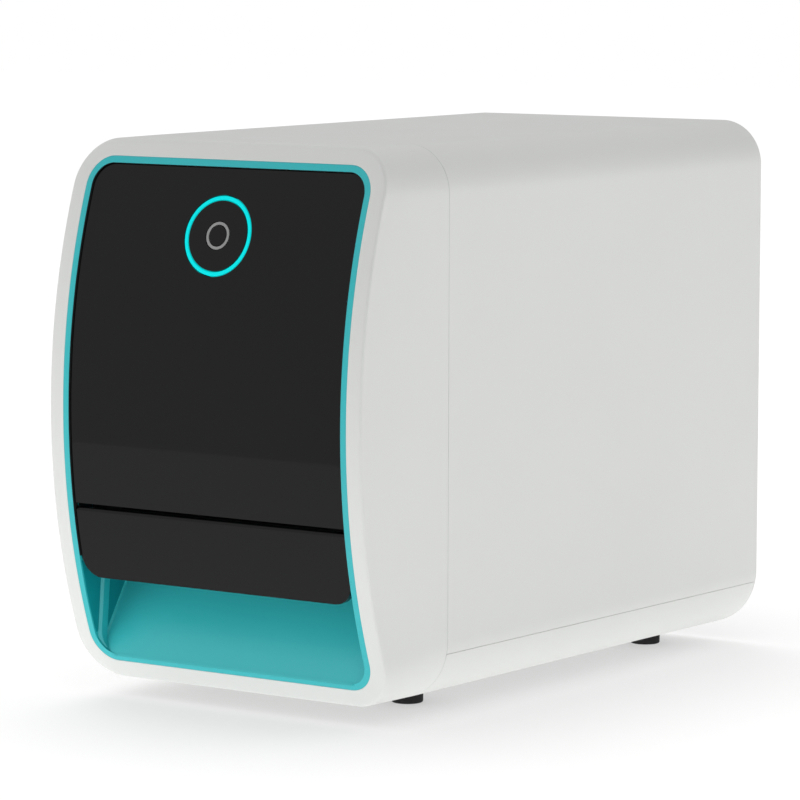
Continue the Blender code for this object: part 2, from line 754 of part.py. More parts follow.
def make_teal_liner():
    flange = BEZEL_FACE_WALL + FIT_GAP
    outer = liner_outline(0, SIDE_STEPS)
    rim = liner_outline(LINER_FLANGE, SIDE_STEPS)
    inner = liner_outline(-LINER_WALL, SIDE_STEPS)
    rings = [
        at_depth(outer, 0),
        at_depth(outer, flange),
        at_depth(rim, flange),
        at_depth(rim, flange + LINER_FLANGE_WALL),
        at_depth(outer, flange + LINER_FLANGE_WALL),
        at_y(outer, liner_back_y),
        at_y(inner, liner_back_y),
        at_depth(inner, 0),
    ]
    shape = loft(rings)
    ramp_low = pocket_low_z - LINER_WALL / 2
    ramp_top = FLAP_BOTTOM_LEVEL - RAMP_DROP
    run = RAMP_WALL / math.sin(RAMP_ANGLE)
    ramp = [
        (ramp_at(ramp_low), ramp_low),
        (ramp_at(ramp_top), ramp_top),
        (ramp_at(ramp_top) + run, ramp_top),
        (ramp_at(ramp_low) + run, ramp_low),
    ]
    reach = pocket_half + LINER_WALL / 2
    trim = prism_y(liner_outline(-LINER_WALL / 2), (front_y, liner_back_y))
    join(shape, keep(prism_x(ramp, (-liner_half, liner_half)), trim))
    stop_z = FLAP_BOTTOM_LEVEL + FLAP_CORNER_RADIUS
    stop_y = front_at(stop_z, fascia_back + FIT_GAP)
    for side in (-1, 1):
        stop_x = sorted((side * (pocket_half - FLAP_STOP_WIDTH), side * reach))
        stop = block(stop_x, (stop_y, stop_y + FLAP_STOP_SIZE), (stop_z, stop_z + FLAP_STOP_SIZE))
        join(shape, stop)
    axis = flap_axis()
    cut(shape, shaft_x(liner_half + CUT_EXTRA, axis.y, axis.z, FLAP_PIN_RADIUS + FIT_GAP))
    piece("teal_liner", shape, "teal_plastic", centre=(0, liner_back_y, liner_low_z))


# Black front panels
def fascia_plate(low, radius, levels):
    plate = outline(fascia_half, low, liner_high_z - LINER_WALL - FASCIA_GAP, radius, radius)
    return keep(prism_y(plate, (front_y - CUT_EXTRA, liner_back_y)), front_slab((FASCIA_RECESS, fascia_back), levels))


def ring_frame():
    # Origin on the fascia's outer face at the ring's centre, Z outward.
    angle = math.asin((liner_high_z - RING_DROP - arc_z) / FRONT_ARC_RADIUS)
    outward = Vector((0, -math.cos(angle), math.sin(angle)))
    centre = Vector((0, arc_y, arc_z)) + outward * (FRONT_ARC_RADIUS - FASCIA_RECESS)
    return Matrix.Translation(centre) @ outward.to_track_quat("Z", "X").to_matrix().to_4x4()


def ring_point(depth):
    return ring_frame() @ Vector((0, 0, -depth))


def ring_cylinder(depths, radius, sides=ROUND_SIDES):
    return cylinder(ring_point(depths[1]), ring_point(depths[0]), radius, sides)


def ring_tube(depths, outer, inner):
    longer = (depths[0] - CUT_EXTRA, depths[1] + CUT_EXTRA)
    return cut(ring_cylinder(depths, outer), ring_cylinder(longer, inner))


def ring_block(x, y, depths):
    shape = block(x, y, (-depths[1], -depths[0]))
    shape.data.transform(ring_frame())
    return shape


def ring_slab(depths):
    ring_z = liner_high_z - RING_DROP
    return front_slab(depths, (ring_z - 2 * RING_RADIUS, liner_high_z))


def make_upper_fascia():
    radius = LINER_CORNER_RADIUS - LINER_WALL - FASCIA_GAP
    shape = fascia_plate(pocket_low_z, radius, (slot_high_z, liner_high_z))
    hole = RING_RADIUS + FIT_GAP
    join(shape, ring_cylinder((FASCIA_WALL / 2, collar_end()), hole + COLLAR_WALL))
    cut(shape, ring_cylinder((-2 * CUT_EXTRA, collar_end() + CUT_EXTRA), hole))
    piece("upper_fascia", shape, "black_gloss", centre=(0, front_y, slot_high_z))


def collar_end():
    return RING_LENGTH + BOARD_WALL


def make_exit_flap():
    axis = flap_axis()
    group("exit_flap", Matrix.Translation(axis), "housing")
    nose_z = slot_low_z - FLAP_NOSE_RADIUS
    shape = fascia_plate(FLAP_BOTTOM_LEVEL, FLAP_CORNER_RADIUS, (FLAP_BOTTOM_LEVEL, nose_z))
    nose_y = front_at(nose_z, FASCIA_RECESS + FLAP_NOSE_RADIUS)
    join(shape, shaft_x(fascia_half, nose_y, nose_z, FLAP_NOSE_RADIUS))
    for side in (-1, 1):
        lug = side * (fascia_half - FLAP_LUG_WIDTH)
        face = side * fascia_half
        pin = side * (pocket_half + FLAP_PIN_LENGTH)
        join(shape, cylinder((lug, axis.y, axis.z), (face, axis.y, axis.z), FLAP_LUG_RADIUS))
        join(shape, cylinder((lug, axis.y, axis.z), (pin, axis.y, axis.z), FLAP_PIN_RADIUS))
    piece("exit_flap", shape, "black_gloss", "exit_flap")


# Start button, inside the light ring
def make_button():
    group("start_button", ring_frame(), "housing")
    bore = RING_RADIUS - RING_WIDTH
    ring = ring_tube((-CUT_EXTRA, RING_LENGTH), RING_RADIUS, bore)
    keep(ring, ring_slab((FASCIA_RECESS, FASCIA_RECESS + 3 * RING_LENGTH)))
    piece("light_ring", ring, "cyan_light", centre=ring_point(0))
    cap = ring_cylinder((-CUT_EXTRA, RING_LENGTH), bore - FIT_GAP)
    keep(cap, ring_slab((FASCIA_RECESS, FASCIA_RECESS + BUTTON_WALL)))
    groove = (INLAY_RADIUS + FIT_GAP, INLAY_RADIUS - INLAY_WIDTH - FIT_GAP)
    cut(cap, ring_tube((-CUT_EXTRA, INLAY_DEPTH + FIT_GAP), *groove))
    stem_end = BUTTON_WALL + BUTTON_STEM_LENGTH
    join(cap, ring_cylinder((BUTTON_WALL - CUT_EXTRA, stem_end), BUTTON_STEM_RADIUS, SMALL_SIDES))
    piece("start_button", cap, "black_gloss", "start_button")
    inlay = ring_tube((-CUT_EXTRA, INLAY_DEPTH), INLAY_RADIUS, INLAY_RADIUS - INLAY_WIDTH)
    keep(inlay, ring_slab((FASCIA_RECESS, FASCIA_RECESS + BUTTON_WALL)))
    piece("button_inlay", inlay, "grey_inlay", "start_button")
    start = stem_end + FIT_GAP
    plunger = ring_cylinder((start, start + PLUNGER_LENGTH), PLUNGER_RADIUS, SMALL_SIDES)
    piece("switch_plunger", plunger, "white_nylon", "start_button")


def make_button_board():
    face = collar_end() + FIT_GAP
    sink = face + BOARD_WALL / 2
    switch_top = face - SWITCH_HEIGHT - FIT_GAP
    board = ring_cylinder((face, face + BOARD_WALL), RING_RADIUS + FIT_GAP + COLLAR_WALL)
    half = SWITCH_SIZE / 2
    join(board, ring_block((-half, half), (-half, half), (switch_top, sink)))
    half = RING_LED_SIZE / 2
    reach = RING_RADIUS - RING_WIDTH / 2
    for step in range(RING_LED_COUNT):
        angle = 2 * math.pi * step / RING_LED_COUNT
        x = reach * math.cos(angle)
        y = reach * math.sin(angle)
        join(board, ring_block((x - half, x + half), (y - half, y + half), (RING_LENGTH + FIT_GAP, sink)))
    cut(board, ring_cylinder((switch_top - CUT_EXTRA, face), PLUNGER_RADIUS + FIT_GAP, SMALL_SIDES))
    piece("button_board", board, "circuit_green", centre=ring_point(face))


# Slot guide and light shutter
def guide_front():
    return flap_axis().y + FLAP_AXIS_DROP + FIT_GAP


def shutter_axis():
    y = guide_front() + GUIDE_DEPTH + SHUTTER_AXIS_SETBACK
    return Vector((0, y, SLOT_LEVEL + SHUTTER_AXIS_RISE))


def make_slot_guide():
    start = guide_front()
    end = start + GUIDE_DEPTH
    high = slot_high_z + GUIDE_TOP_RISE
    shape = block((-guide_half, guide_half), (start, end), (slot_low_z - GUIDE_LIP_WALL, high))
    mouth = [
        (start - CUT_EXTRA, slot_low_z - FIT_GAP),
        (end + CUT_EXTRA, slot_low_z - FIT_GAP),
        (end + CUT_EXTRA, slot_high_z),
        (start - CUT_EXTRA, slot_high_z + SLOT_HEIGHT),
    ]
    cut(shape, prism_x(mouth, (-channel_half, channel_half)))
    axis = shutter_axis()
    hole = SHUTTER_BARREL_RADIUS + FIT_GAP
    inner = channel_half + FIT_GAP
    for side in (-1, 1):
        ear_x = sorted((side * inner, side * (inner + SHUTTER_EAR_WIDTH)))
        join(shape, block(ear_x, (end - CUT_EXTRA, axis.y + 2 * hole), (axis.z - 2 * hole, high)))
    cut(shape, shaft_x(inner + SHUTTER_EAR_WIDTH + CUT_EXTRA, axis.y, axis.z, hole))
    piece("slot_guide", shape, "black_matte", centre=(0, start, SLOT_LEVEL))


def make_light_shutter():
    axis = shutter_axis()
    group("light_shutter", Matrix.Translation(axis), "housing")
    wall = SHUTTER_WALL / 2
    shape = block((-channel_half, channel_half), (axis.y - wall, axis.y + wall), (slot_low_z - SLOT_HEIGHT / 2, axis.z))
    join(shape, shaft_x(channel_half + SHUTTER_STUB_LENGTH, axis.y, axis.z, SHUTTER_BARREL_RADIUS))
    piece("light_shutter", shape, "black_matte", "light_shutter")


# Metal frame
def make_chassis_plate():
    levels = (chassis_z, chassis_top_z)
    shape = block((-chassis_half, chassis_half), (chassis_front_y, chassis_rear_y), levels)
    for x, y in standoff_places():
        cut(shape, shaft_z(x, y, (chassis_z - CUT_EXTRA, chassis_top_z + CUT_EXTRA), screw_hole_radius))
    piece("chassis_plate", shape, "sheet_steel", centre=(0, 0, chassis_z))


def screw_profile(reach):
    return [
        (0, -reach),
        (SCREW_SHANK_RADIUS, -reach),
        (SCREW_SHANK_RADIUS, 0),
        (SCREW_HEAD_RADIUS, 0),
        (SCREW_HEAD_RADIUS, SCREW_HEAD_HEIGHT / 2),
        (SCREW_HEAD_RADIUS * 0.8, SCREW_HEAD_HEIGHT),
        (0, SCREW_HEAD_HEIGHT),
    ]


def make_screws():
    chassis = screw_profile(CHASSIS_SCREW_REACH)
    panel = screw_profile(PANEL_SCREW_REACH)
    for number, (x, y) in enumerate(standoff_places(), 1):
        place = (x, y, frame_z)
        piece(f"chassis_screw_{number}", turned(chassis, place, (0, 0, 1)), "zinc_screw", centre=place)
    for number, (x, z) in enumerate(panel_screw_places(), 1):
        place = (x, panel_rear_y + FIT_GAP, z)
        piece(f"panel_screw_{number}", turned(panel, place, (0, 1, 0)), "zinc_screw", centre=place)


def make_bracket(name, start, screw_hole, window):
    high = rod_z + BRACKET_HEADROOM
    shape = block((-bracket_half, bracket_half), (start, start + BRACKET_WALL), (frame_z, high))
    through = (start - CUT_EXTRA, start + BRACKET_WALL + CUT_EXTRA)
    if window:
        sides = (rod_places[0] + BRACKET_WINDOW_MARGIN, rod_places[1] - BRACKET_WINDOW_MARGIN)
        cut(shape, block(sides, through, (carriage_low_z - CARRIAGE_NOSE, high + CUT_EXTRA)))
    for x in rod_places:
        cut(shape, shaft_y(x, through, rod_z, ROD_RADIUS + FIT_GAP))
    cut(shape, shaft_y(0, through, screw_z, screw_hole))
    piece(name, shape, "sheet_steel", centre=(0, start, frame_z))


def make_side_plates():
    inner = bracket_half + FIT_GAP
    for name, side in (("side_plate_left", -1), ("side_plate_right", 1)):
        ends = sorted((side * inner, side * (inner + SIDE_PLATE_WALL)))
        shape = block(ends, (deck_front_y, deck_rear_y), (frame_z, deck_z - FIT_GAP))
        piece(name, shape, "sheet_steel", centre=(side * inner, deck_front_y, frame_z))


# Plate transport
def make_rods():
    ends = (front_bracket_y - FIT_GAP, rear_bracket_y + BRACKET_WALL - FIT_GAP)
    for name, x in zip(("guide_rod_left", "guide_rod_right"), rod_places):
        piece(name, shaft_y(x, ends, rod_z, ROD_RADIUS), "ground_steel", centre=(x, ends[0], rod_z))


def make_lead_screw():
    ends = (front_bracket_y - FIT_GAP, motor_y + MOTOR_BORE_DEPTH)
    group("lead_screw", Matrix.Translation((0, ends[0], screw_z)), "housing")
    piece("lead_screw", shaft_y(0, ends, screw_z, SCREW_RADIUS), "ground_steel", "lead_screw")
    start = front_bracket_y - FIT_GAP - BUSH_FLANGE
    end = front_bracket_y + BRACKET_WALL + BUSH_FLANGE
    bush = shaft_y(0, (start, start + BUSH_FLANGE), screw_z, BUSH_RADIUS + BUSH_FLANGE)
    join(bush, shaft_y(0, (start + BUSH_FLANGE / 2, end), screw_z, BUSH_RADIUS))
    cut(bush, shaft_y(0, (start - CUT_EXTRA, end + CUT_EXTRA), screw_z, SCREW_RADIUS + FIT_GAP))
    piece("screw_bearing", bush, "brass", centre=(0, front_bracket_y, screw_z))


def make_stepper_motor():
    half = MOTOR_SIZE / 2
    flat = half - MOTOR_CHAMFER
    corners = ((-flat, -half), (flat, -half), (half, -flat), (half, flat))
    corners += tuple((-x, -z) for x, z in corners)
    shape = prism_y([(x, screw_z + z) for x, z in corners], (motor_y, motor_y + MOTOR_LENGTH))
    bore = (motor_y - CUT_EXTRA, motor_y + MOTOR_BORE_DEPTH + CUT_EXTRA)
    cut(shape, shaft_y(0, bore, screw_z, SCREW_RADIUS + FIT_GAP))
    piece("stepper_motor", shape, "black_matte", centre=(0, motor_y, screw_z))


def ear_start():
    return TRAY_WIDTH / 2 - EAR_WIDTH - FIT_GAP


def make_carriage():
    group("carriage", Matrix.Translation((0, carriage_front_y, rod_z)), "housing")
    half = bracket_half - CARRIAGE_SIDE_GAP
    shape = block((-half, half), (carriage_front_y, carriage_rear_y), (carriage_low_z, carriage_high_z))
    arm_start = carriage_front_y + (CARRIAGE_LENGTH - NUT_ARM_LENGTH) / 2
    arm_end = arm_start + NUT_ARM_LENGTH
    arm_z = (screw_z - NUT_FLANGE_RADIUS, carriage_low_z + CUT_EXTRA)
    join(shape, block((-NUT_ARM_WIDTH / 2, NUT_ARM_WIDTH / 2), (arm_start, arm_end), arm_z))
    spring_y = tray_axis.y - SPRING_SETBACK
    shelf = SPRING_RADIUS + 2 * SPRING_WIRE_RADIUS + CUT_EXTRA
    shelf_top = carriage_low_z + SHELF_WALL
    shelf_y = (spring_y - shelf, carriage_front_y + CUT_EXTRA)
    join(shape, block((-shelf, shelf), shelf_y, (carriage_low_z, shelf_top)))
    ear_y = (tray_rear_y + FIT_GAP, tray_axis.y + TRAY_LUG_RADIUS)
    ear_z = (carriage_high_z - CUT_EXTRA, tray_axis.z + TRAY_LUG_RADIUS)
    for side in (-1, 1):
        ear_x = sorted((side * ear_start(), side * (ear_start() + EAR_WIDTH)))
        join(shape, block(ear_x, ear_y, ear_z))
    through = (carriage_front_y - CUT_EXTRA, carriage_rear_y + CUT_EXTRA)
    for x in rod_places:
        cut(shape, shaft_y(x, through, rod_z, ROD_RADIUS + FIT_GAP))
    cut(shape, shaft_y(0, through, screw_z, NUT_RADIUS + FIT_GAP))
    pin_reach = ear_start() + EAR_WIDTH
    cut(shape, shaft_x(pin_reach + CUT_EXTRA, tray_axis.y, tray_axis.z, TRAY_PIN_RADIUS + FIT_GAP))
    piece("carriage", shape, "white_nylon", "carriage")
    flange = arm_end + FIT_GAP
    nut = shaft_y(0, (arm_start, flange + NUT_FLANGE_WALL / 2), screw_z, NUT_RADIUS)
    join(nut, shaft_y(0, (flange, flange + NUT_FLANGE_WALL), screw_z, NUT_FLANGE_RADIUS))
    cut(nut, shaft_y(0, through, screw_z, SCREW_RADIUS + FIT_GAP))
    piece("carriage_nut", nut, "brass", "carriage")
    pin = shaft_x(pin_reach, tray_axis.y, tray_axis.z, TRAY_PIN_RADIUS)
    piece("tray_pin", pin, "ground_steel", "carriage")
    make_tray_spring(spring_y, shelf_top + FIT_GAP, tray_low_z - FIT_GAP)


def make_tray_spring(y, low, high):
    wire = SPRING_WIRE_RADIUS
    curve = bpy.data.curves.new("tray_spring", "CURVE")
    curve.dimensions = "3D"
    curve.bevel_depth = wire
    curve.bevel_resolution = 1
    curve.use_fill_caps = True
    spline = curve.splines.new("POLY")
    last = SPRING_TURNS * COIL_SIDES
    spline.points.add(last)
    for index, point in enumerate(spline.points):
        angle = 2 * math.pi * index / COIL_SIDES
        height = low + wire + (high - low - 2 * wire) * index / last
        point.co = (SPRING_RADIUS * math.cos(angle), y + SPRING_RADIUS * math.sin(angle), height, 1)
    holder = bpy.data.objects.new("coil", curve)
    bpy.context.collection.objects.link(holder)
    bpy.context.view_layer.update()
    graph = bpy.context.evaluated_depsgraph_get()
    mesh = bpy.data.meshes.new_from_object(holder.evaluated_get(graph))
    bpy.data.objects.remove(holder, do_unlink=True)
    bm = bmesh.new()
    bm.from_mesh(mesh)
    bmesh.ops.remove_doubles(bm, verts=bm.verts, dist=1e-6)
    piece("tray_spring", raw(bm), "ground_steel", "carriage")


def make_plate_tray():
    group("plate_tray", Matrix.Translation(tray_axis), "carriage")
    half = TRAY_WIDTH / 2
    inner = half - TRAY_WALL
    rim = tray_top_z + TRAY_RIM
    shape = block((-half, half), (tray_front_y, tray_rear_y), (tray_low_z, rim))
    hollow_y = (tray_front_y - CUT_EXTRA, tray_rear_y - TRAY_WALL)
    cut(shape, block((-inner, inner), hollow_y, (tray_top_z, rim + CUT_EXTRA)))
    lug_end = ear_start() - FIT_GAP
    lug_y = (tray_rear_y - 2 * TRAY_WALL, tray_axis.y)
    for side in (-1, 1):
        lug_x = sorted((side * (lug_end - TRAY_LUG_WIDTH), side * lug_end))
        join(shape, block(lug_x, lug_y, (tray_axis.z, tray_top_z)))
        join(shape, cylinder((lug_x[0], *tray_axis.yz), (lug_x[1], *tray_axis.yz), TRAY_LUG_RADIUS))
    cut(shape, shaft_x(lug_end + CUT_EXTRA, tray_axis.y, tray_axis.z, TRAY_PIN_RADIUS + FIT_GAP))
    piece("plate_tray", shape, "black_matte", "plate_tray")


# Scan head
def mirror_section(gap=0.0):
    # The slanted mirror in side view, grown by gap all round.
    reach = MIRROR_HEIGHT / 2 * math.sqrt(0.5)
    wall = MIRROR_WALL * math.sqrt(0.5)
    more = gap * math.sqrt(2)
    return [
        (scan_y + reach + more, beam_z + reach),
        (scan_y - reach, beam_z - reach - more),
        (scan_y - reach - wall - more, beam_z - reach + wall),
        (scan_y + reach - wall, beam_z + reach + wall + more),
    ]


def make_optics_deck():
    shape = block((-chassis_half, chassis_half), (deck_front_y, deck_rear_y), (deck_z, deck_top_z))
    half = mirror_half - SCAN_WINDOW_INSET
    reach = SCAN_WINDOW_LENGTH / 2
    window_z = (deck_z - CUT_EXTRA, deck_top_z + CUT_EXTRA)
    cut(shape, block((-half, half), (scan_y - reach, scan_y + reach), window_z))
    root = deck_top_z - DECK_WALL / 2
    mount_y = (scan_y - MIRROR_MOUNT_REACH, scan_y + MIRROR_MOUNT_REACH)
    for side in (-1, 1):
        inner = side * (mirror_half - MIRROR_MOUNT_WALL / 2)
        mount_x = sorted((inner, side * (mirror_half + MIRROR_MOUNT_WALL)))
        mount = block(mount_x, mount_y, (root, beam_z + MIRROR_MOUNT_REACH))
        groove = sorted((inner - side * MIRROR_MOUNT_WALL, side * (mirror_half + FIT_GAP)))
        cut(mount, prism_x(mirror_section(FIT_GAP), groove))
        join(shape, mount)
    seat_half = mirror_half - LENS_INSET - LENS_WALL
    seat_y = (lens_y + LENS_SEAT_INSET, lens_y + LENS_WALL)
    join(shape, block((-seat_half, seat_half), seat_y, (root, lens_z - FIT_GAP)))
    piece("optics_deck", shape, "grey_casting", centre=(0, scan_y, deck_z))


def make_optics_cover():
    wall = OPTICS_COVER_WALL
    shape = block((-cover_half, cover_half), cover_y, (optics_z, cover_top_z))
    inside_x = (-cover_half + wall, cover_half - wall)
    inside_y = (cover_y[0] + wall, cover_y[1] - wall)
    cut(shape, block(inside_x, inside_y, (optics_z - CUT_EXTRA, cover_top_z - wall)))
    piece("optics_cover", shape, "sheet_steel", centre=(0, cover_y[0], optics_z))


def make_optics():
    mirror = prism_x(mirror_section(), (-mirror_half, mirror_half))
    piece("fold_mirror", mirror, "mirror", centre=(0, scan_y, beam_z))
    half = mirror_half - LENS_INSET
    bow = [half * (2 * k / CORNER_STEPS - 1) for k in range(CORNER_STEPS + 1)]
    lens = [(-half, lens_y), (half, lens_y)]
    lens += [(x, lens_y + LENS_WALL + LENS_BULGE * (1 - (x / half) ** 2)) for x in reversed(bow)]
    piece("scan_lens", prism_z(lens, (lens_z, lens_z + LENS_HEIGHT)), "lens_glass", centre=(0, lens_y, beam_z))
    low = beam_z - POLYGON_HEIGHT / 2
    high = beam_z + POLYGON_HEIGHT / 2
    motor = shaft_z(0, polygon_y, (optics_z, low - FIT_GAP), POLYGON_MOTOR_RADIUS, SHAFT_SIDES)
    piece("polygon_motor", motor, "grey_casting", centre=(0, polygon_y, optics_z))
    group("polygon_mirror", Matrix.Translation((0, polygon_y, beam_z)), "housing")
    polygon = shaft_z(0, polygon_y, (low, high), POLYGON_RADIUS, POLYGON_SIDES)
    join(polygon, shaft_z(0, polygon_y, (beam_z, high + POLYGON_HEIGHT / 2), POLYGON_RADIUS / 2))
    piece("polygon_mirror", polygon, "mirror", "polygon_mirror")
    start = OPTICS_COVER_WALL + LASER_SIDE_GAP - cover_half
    end = -POLYGON_RADIUS - LASER_POLYGON_GAP
    x = (start + end) / 2
    laser = cylinder((start, polygon_y, beam_z), (end, polygon_y, beam_z), LASER_RADIUS)
    cradle_x = (x - LASER_RADIUS, x + LASER_RADIUS)
    cradle_y = (polygon_y - LASER_RADIUS, polygon_y + LASER_RADIUS)
    join(laser, block(cradle_x, cradle_y, (optics_z, beam_z)))
    piece("laser_module", laser, "black_matte", centre=(x, polygon_y, optics_z))


def make_light_collector():
    high = deck_z - FIT_GAP
    low = tray_top_z + TRAY_RIM + COLLECTOR_CLEARANCE
    start = scan_y + SCAN_WINDOW_LENGTH / 2
    half = mirror_half - COLLECTOR_INSET
    end = start + COLLECTOR_WALL
    funnel = [(start, low), (end, low + COLLECTOR_WALL), (end, high), (start, high)]
    piece("light_collector", prism_x(funnel, (-half, half)), "lens_glass", centre=(0, start, low))
    width = DETECTOR_WIDTH / 2
    back = end + FIT_GAP
    detector = block((-width, width), (back, back + DETECTOR_LENGTH), (low, high))
    piece("photomultiplier", detector, "sheet_steel", centre=(0, back, high))
    eraser_end = scan_y - ERASER_SETBACK
    eraser = block((-half, half), (eraser_end - ERASER_WALL, eraser_end), (high - ERASER_HEIGHT, high))
    piece("eraser_bar", eraser, "led_white", centre=(0, eraser_end, high))


# Circuit boards
def board_with_posts(half, ends, base, low):
    board = block((-half, half), ends, (low, low + BOARD_WALL))
    inset = 2 * POST_RADIUS
    for x in (-half + inset, half - inset):
        for y in (ends[0] + inset, ends[1] - inset):
            join(board, shaft_z(x, y, (base, low + BOARD_WALL / 2), POST_RADIUS))
    return board


def make_main_board():
    low = chassis_top_z + MAIN_BOARD_RISE
    side = bracket_half - MAIN_BOARD_SIDE_GAP
    ends = (carriage_front_y, rear_bracket_y - MAIN_BOARD_SIDE_GAP)
    board = board_with_posts(side, ends, frame_z, low)
    middle = (ends[0] + ends[1]) / 2
    root = low + BOARD_WALL / 2
    chip = (root, low + BOARD_WALL + CHIP_HEIGHT)
    plug = (root, low + BOARD_WALL + PLUG_HEIGHT)
    join(
        board,
        block((-side / 2 - CHIP_SIZE / 2, -side / 2 + CHIP_SIZE / 2), (middle, middle + CHIP_SIZE), chip),
        block((side / 2, side / 2 + CHIP_SIZE), (middle - CHIP_SIZE, middle), chip),
        block((-side + PLUG_HEIGHT, -side + 2 * PLUG_HEIGHT), (middle - 2 * CHIP_SIZE, middle - CHIP_SIZE), plug),
    )
    piece("main_board", board, "circuit_green", centre=(0, 0, low))


def make_power_board():
    base = cover_top_z + FIT_GAP
    low = base + POWER_BOARD_RISE
    middle = (cover_y[0] + cover_y[1]) / 2
    ends = (middle - POWER_BOARD_LENGTH / 2, middle + POWER_BOARD_LENGTH / 2)
    board = board_with_posts(cover_half - POWER_BOARD_INSET, ends, base, low)
    root = low + BOARD_WALL / 2
    high = low + BOARD_WALL + CAN_HEIGHT
    for step in (-1, 0, 1):
        join(board, shaft_z(step * CAN_PITCH, middle - CAN_PITCH, (root, high), CAN_RADIUS))
    coil_y = (middle + CAN_PITCH / 2, middle + CAN_PITCH / 2 + COIL_LENGTH)
    join(board, block((-COIL_WIDTH / 2, COIL_WIDTH / 2), coil_y, (root, high)))
    piece("power_board", board, "circuit_green", centre=(0, middle, low))


# Rear panel and sockets
def hole_block(x, z, width, height, y, margin):
    reach_x = width / 2 + margin
    reach_z = height / 2 + margin
    return block((x - reach_x, x + reach_x), y, (z - reach_z, z + reach_z))


def make_rear_panel():
    shape = prism_y(body_outline(SHELL_WALL + PANEL_GAP), (panel_front_y, panel_rear_y))
    through = (panel_front_y - CUT_EXTRA, panel_rear_y + CUT_EXTRA)
    for x in (-fan_x, fan_x):
        for z in vent_levels(fan_z):
            cut(shape, hole_block(x, z, VENT_WIDTH, VENT_HEIGHT, through, 0))
    for x, z in panel_screw_places():
        cut(shape, shaft_y(x, through, z, screw_hole_radius, SMALL_SIDES))
    margin = ROCKER_FRAME_MARGIN + FIT_GAP
    cut(
        shape,
        hole_block(jack_x, SOCKET_LEVEL, JACK_SIZE, JACK_SIZE, through, FIT_GAP),
        hole_block(data_x, SOCKET_LEVEL, DATA_WIDTH, DATA_HEIGHT, through, FIT_GAP),
        hole_block(rocker_x, ROCKER_LEVEL, ROCKER_WIDTH, ROCKER_HEIGHT, through, margin),
    )
    piece("rear_panel", shape, "black_matte", centre=(0, panel_front_y, floor_z))


def make_sockets():
    back = panel_front_y - SOCKET_DEPTH
    face = panel_rear_y
    bore = (back + SOCKET_FLOOR, face + CUT_EXTRA)
    contact = (back + SOCKET_FLOOR / 2, face - CUT_EXTRA)
    z = SOCKET_LEVEL
    jack = hole_block(jack_x, z, JACK_SIZE, JACK_SIZE, (back, face), 0)
    cut(jack, shaft_y(jack_x, bore, z, JACK_BORE_RADIUS))
    join(jack, shaft_y(jack_x, contact, z, JACK_PIN_RADIUS, SMALL_SIDES))
    piece("dc_jack", jack, "black_matte", centre=(jack_x, face, z))
    data = hole_block(data_x, z, DATA_WIDTH, DATA_HEIGHT, (back, face), 0)
    cut(data, hole_block(data_x, z, DATA_OPENING_WIDTH, DATA_OPENING_HEIGHT, bore, 0))
    join(data, hole_block(data_x, z, DATA_TONGUE_WIDTH, DATA_TONGUE_HEIGHT, contact, 0))
    piece("usb_socket", data, "zinc_screw", centre=(data_x, face, z))
    board_x = (data_x - JACK_SIZE, jack_x + JACK_SIZE / 2)
    board_y = (back - FIT_GAP - BOARD_WALL, back - FIT_GAP)
    board = block(board_x, board_y, (z - JACK_SIZE, z + JACK_SIZE))
    piece("io_board", board, "circuit_green", centre=(data_x, board_y[1], z))


def make_power_switch():
    x = rocker_x
    z = ROCKER_LEVEL
    back = panel_front_y - ROCKER_BODY_DEPTH
    flange = (panel_rear_y + FIT_GAP, panel_rear_y + FIT_GAP + ROCKER_FLANGE)
    margin = ROCKER_FRAME_MARGIN
    shape = hole_block(x, z, ROCKER_WIDTH, ROCKER_HEIGHT, (back, flange[1]), margin)
    over = margin + FLANGE_OVERLAP + FIT_GAP
    join(shape, hole_block(x, z, ROCKER_WIDTH, ROCKER_HEIGHT, flange, over))
    well_x = ROCKER_WIDTH / 2 + FIT_GAP
    well_z = ROCKER_HEIGHT / 2 + ROCKER_SWING_GAP
    well_y = (back + SOCKET_FLOOR, flange[1] + CUT_EXTRA)
    cut(shape, block((x - well_x, x + well_x), well_y, (z - well_z, z + well_z)))
    piece("switch_frame", shape, "black_matte", centre=(x, flange[1], z))
    axis_y = flange[1] - margin / 2
    group("power_rocker", Matrix.Translation((x, axis_y, z)), "housing")
    half = ROCKER_HEIGHT / 2
    face = flange[1] - FIT_GAP
    shoulder = face - margin
    side_view = [
        (shoulder - margin, z - half / 3),
        (shoulder, z - half),
        (face, z - half),
        (face, z),
        (face + half * math.tan(ROCKER_TILT), z + half),
        (shoulder, z + half),
        (shoulder - margin, z + half / 3),
    ]
    rocker = prism_x(side_view, (x - ROCKER_WIDTH / 2, x + ROCKER_WIDTH / 2))
    piece("power_rocker", rocker, "black_gloss", "power_rocker")


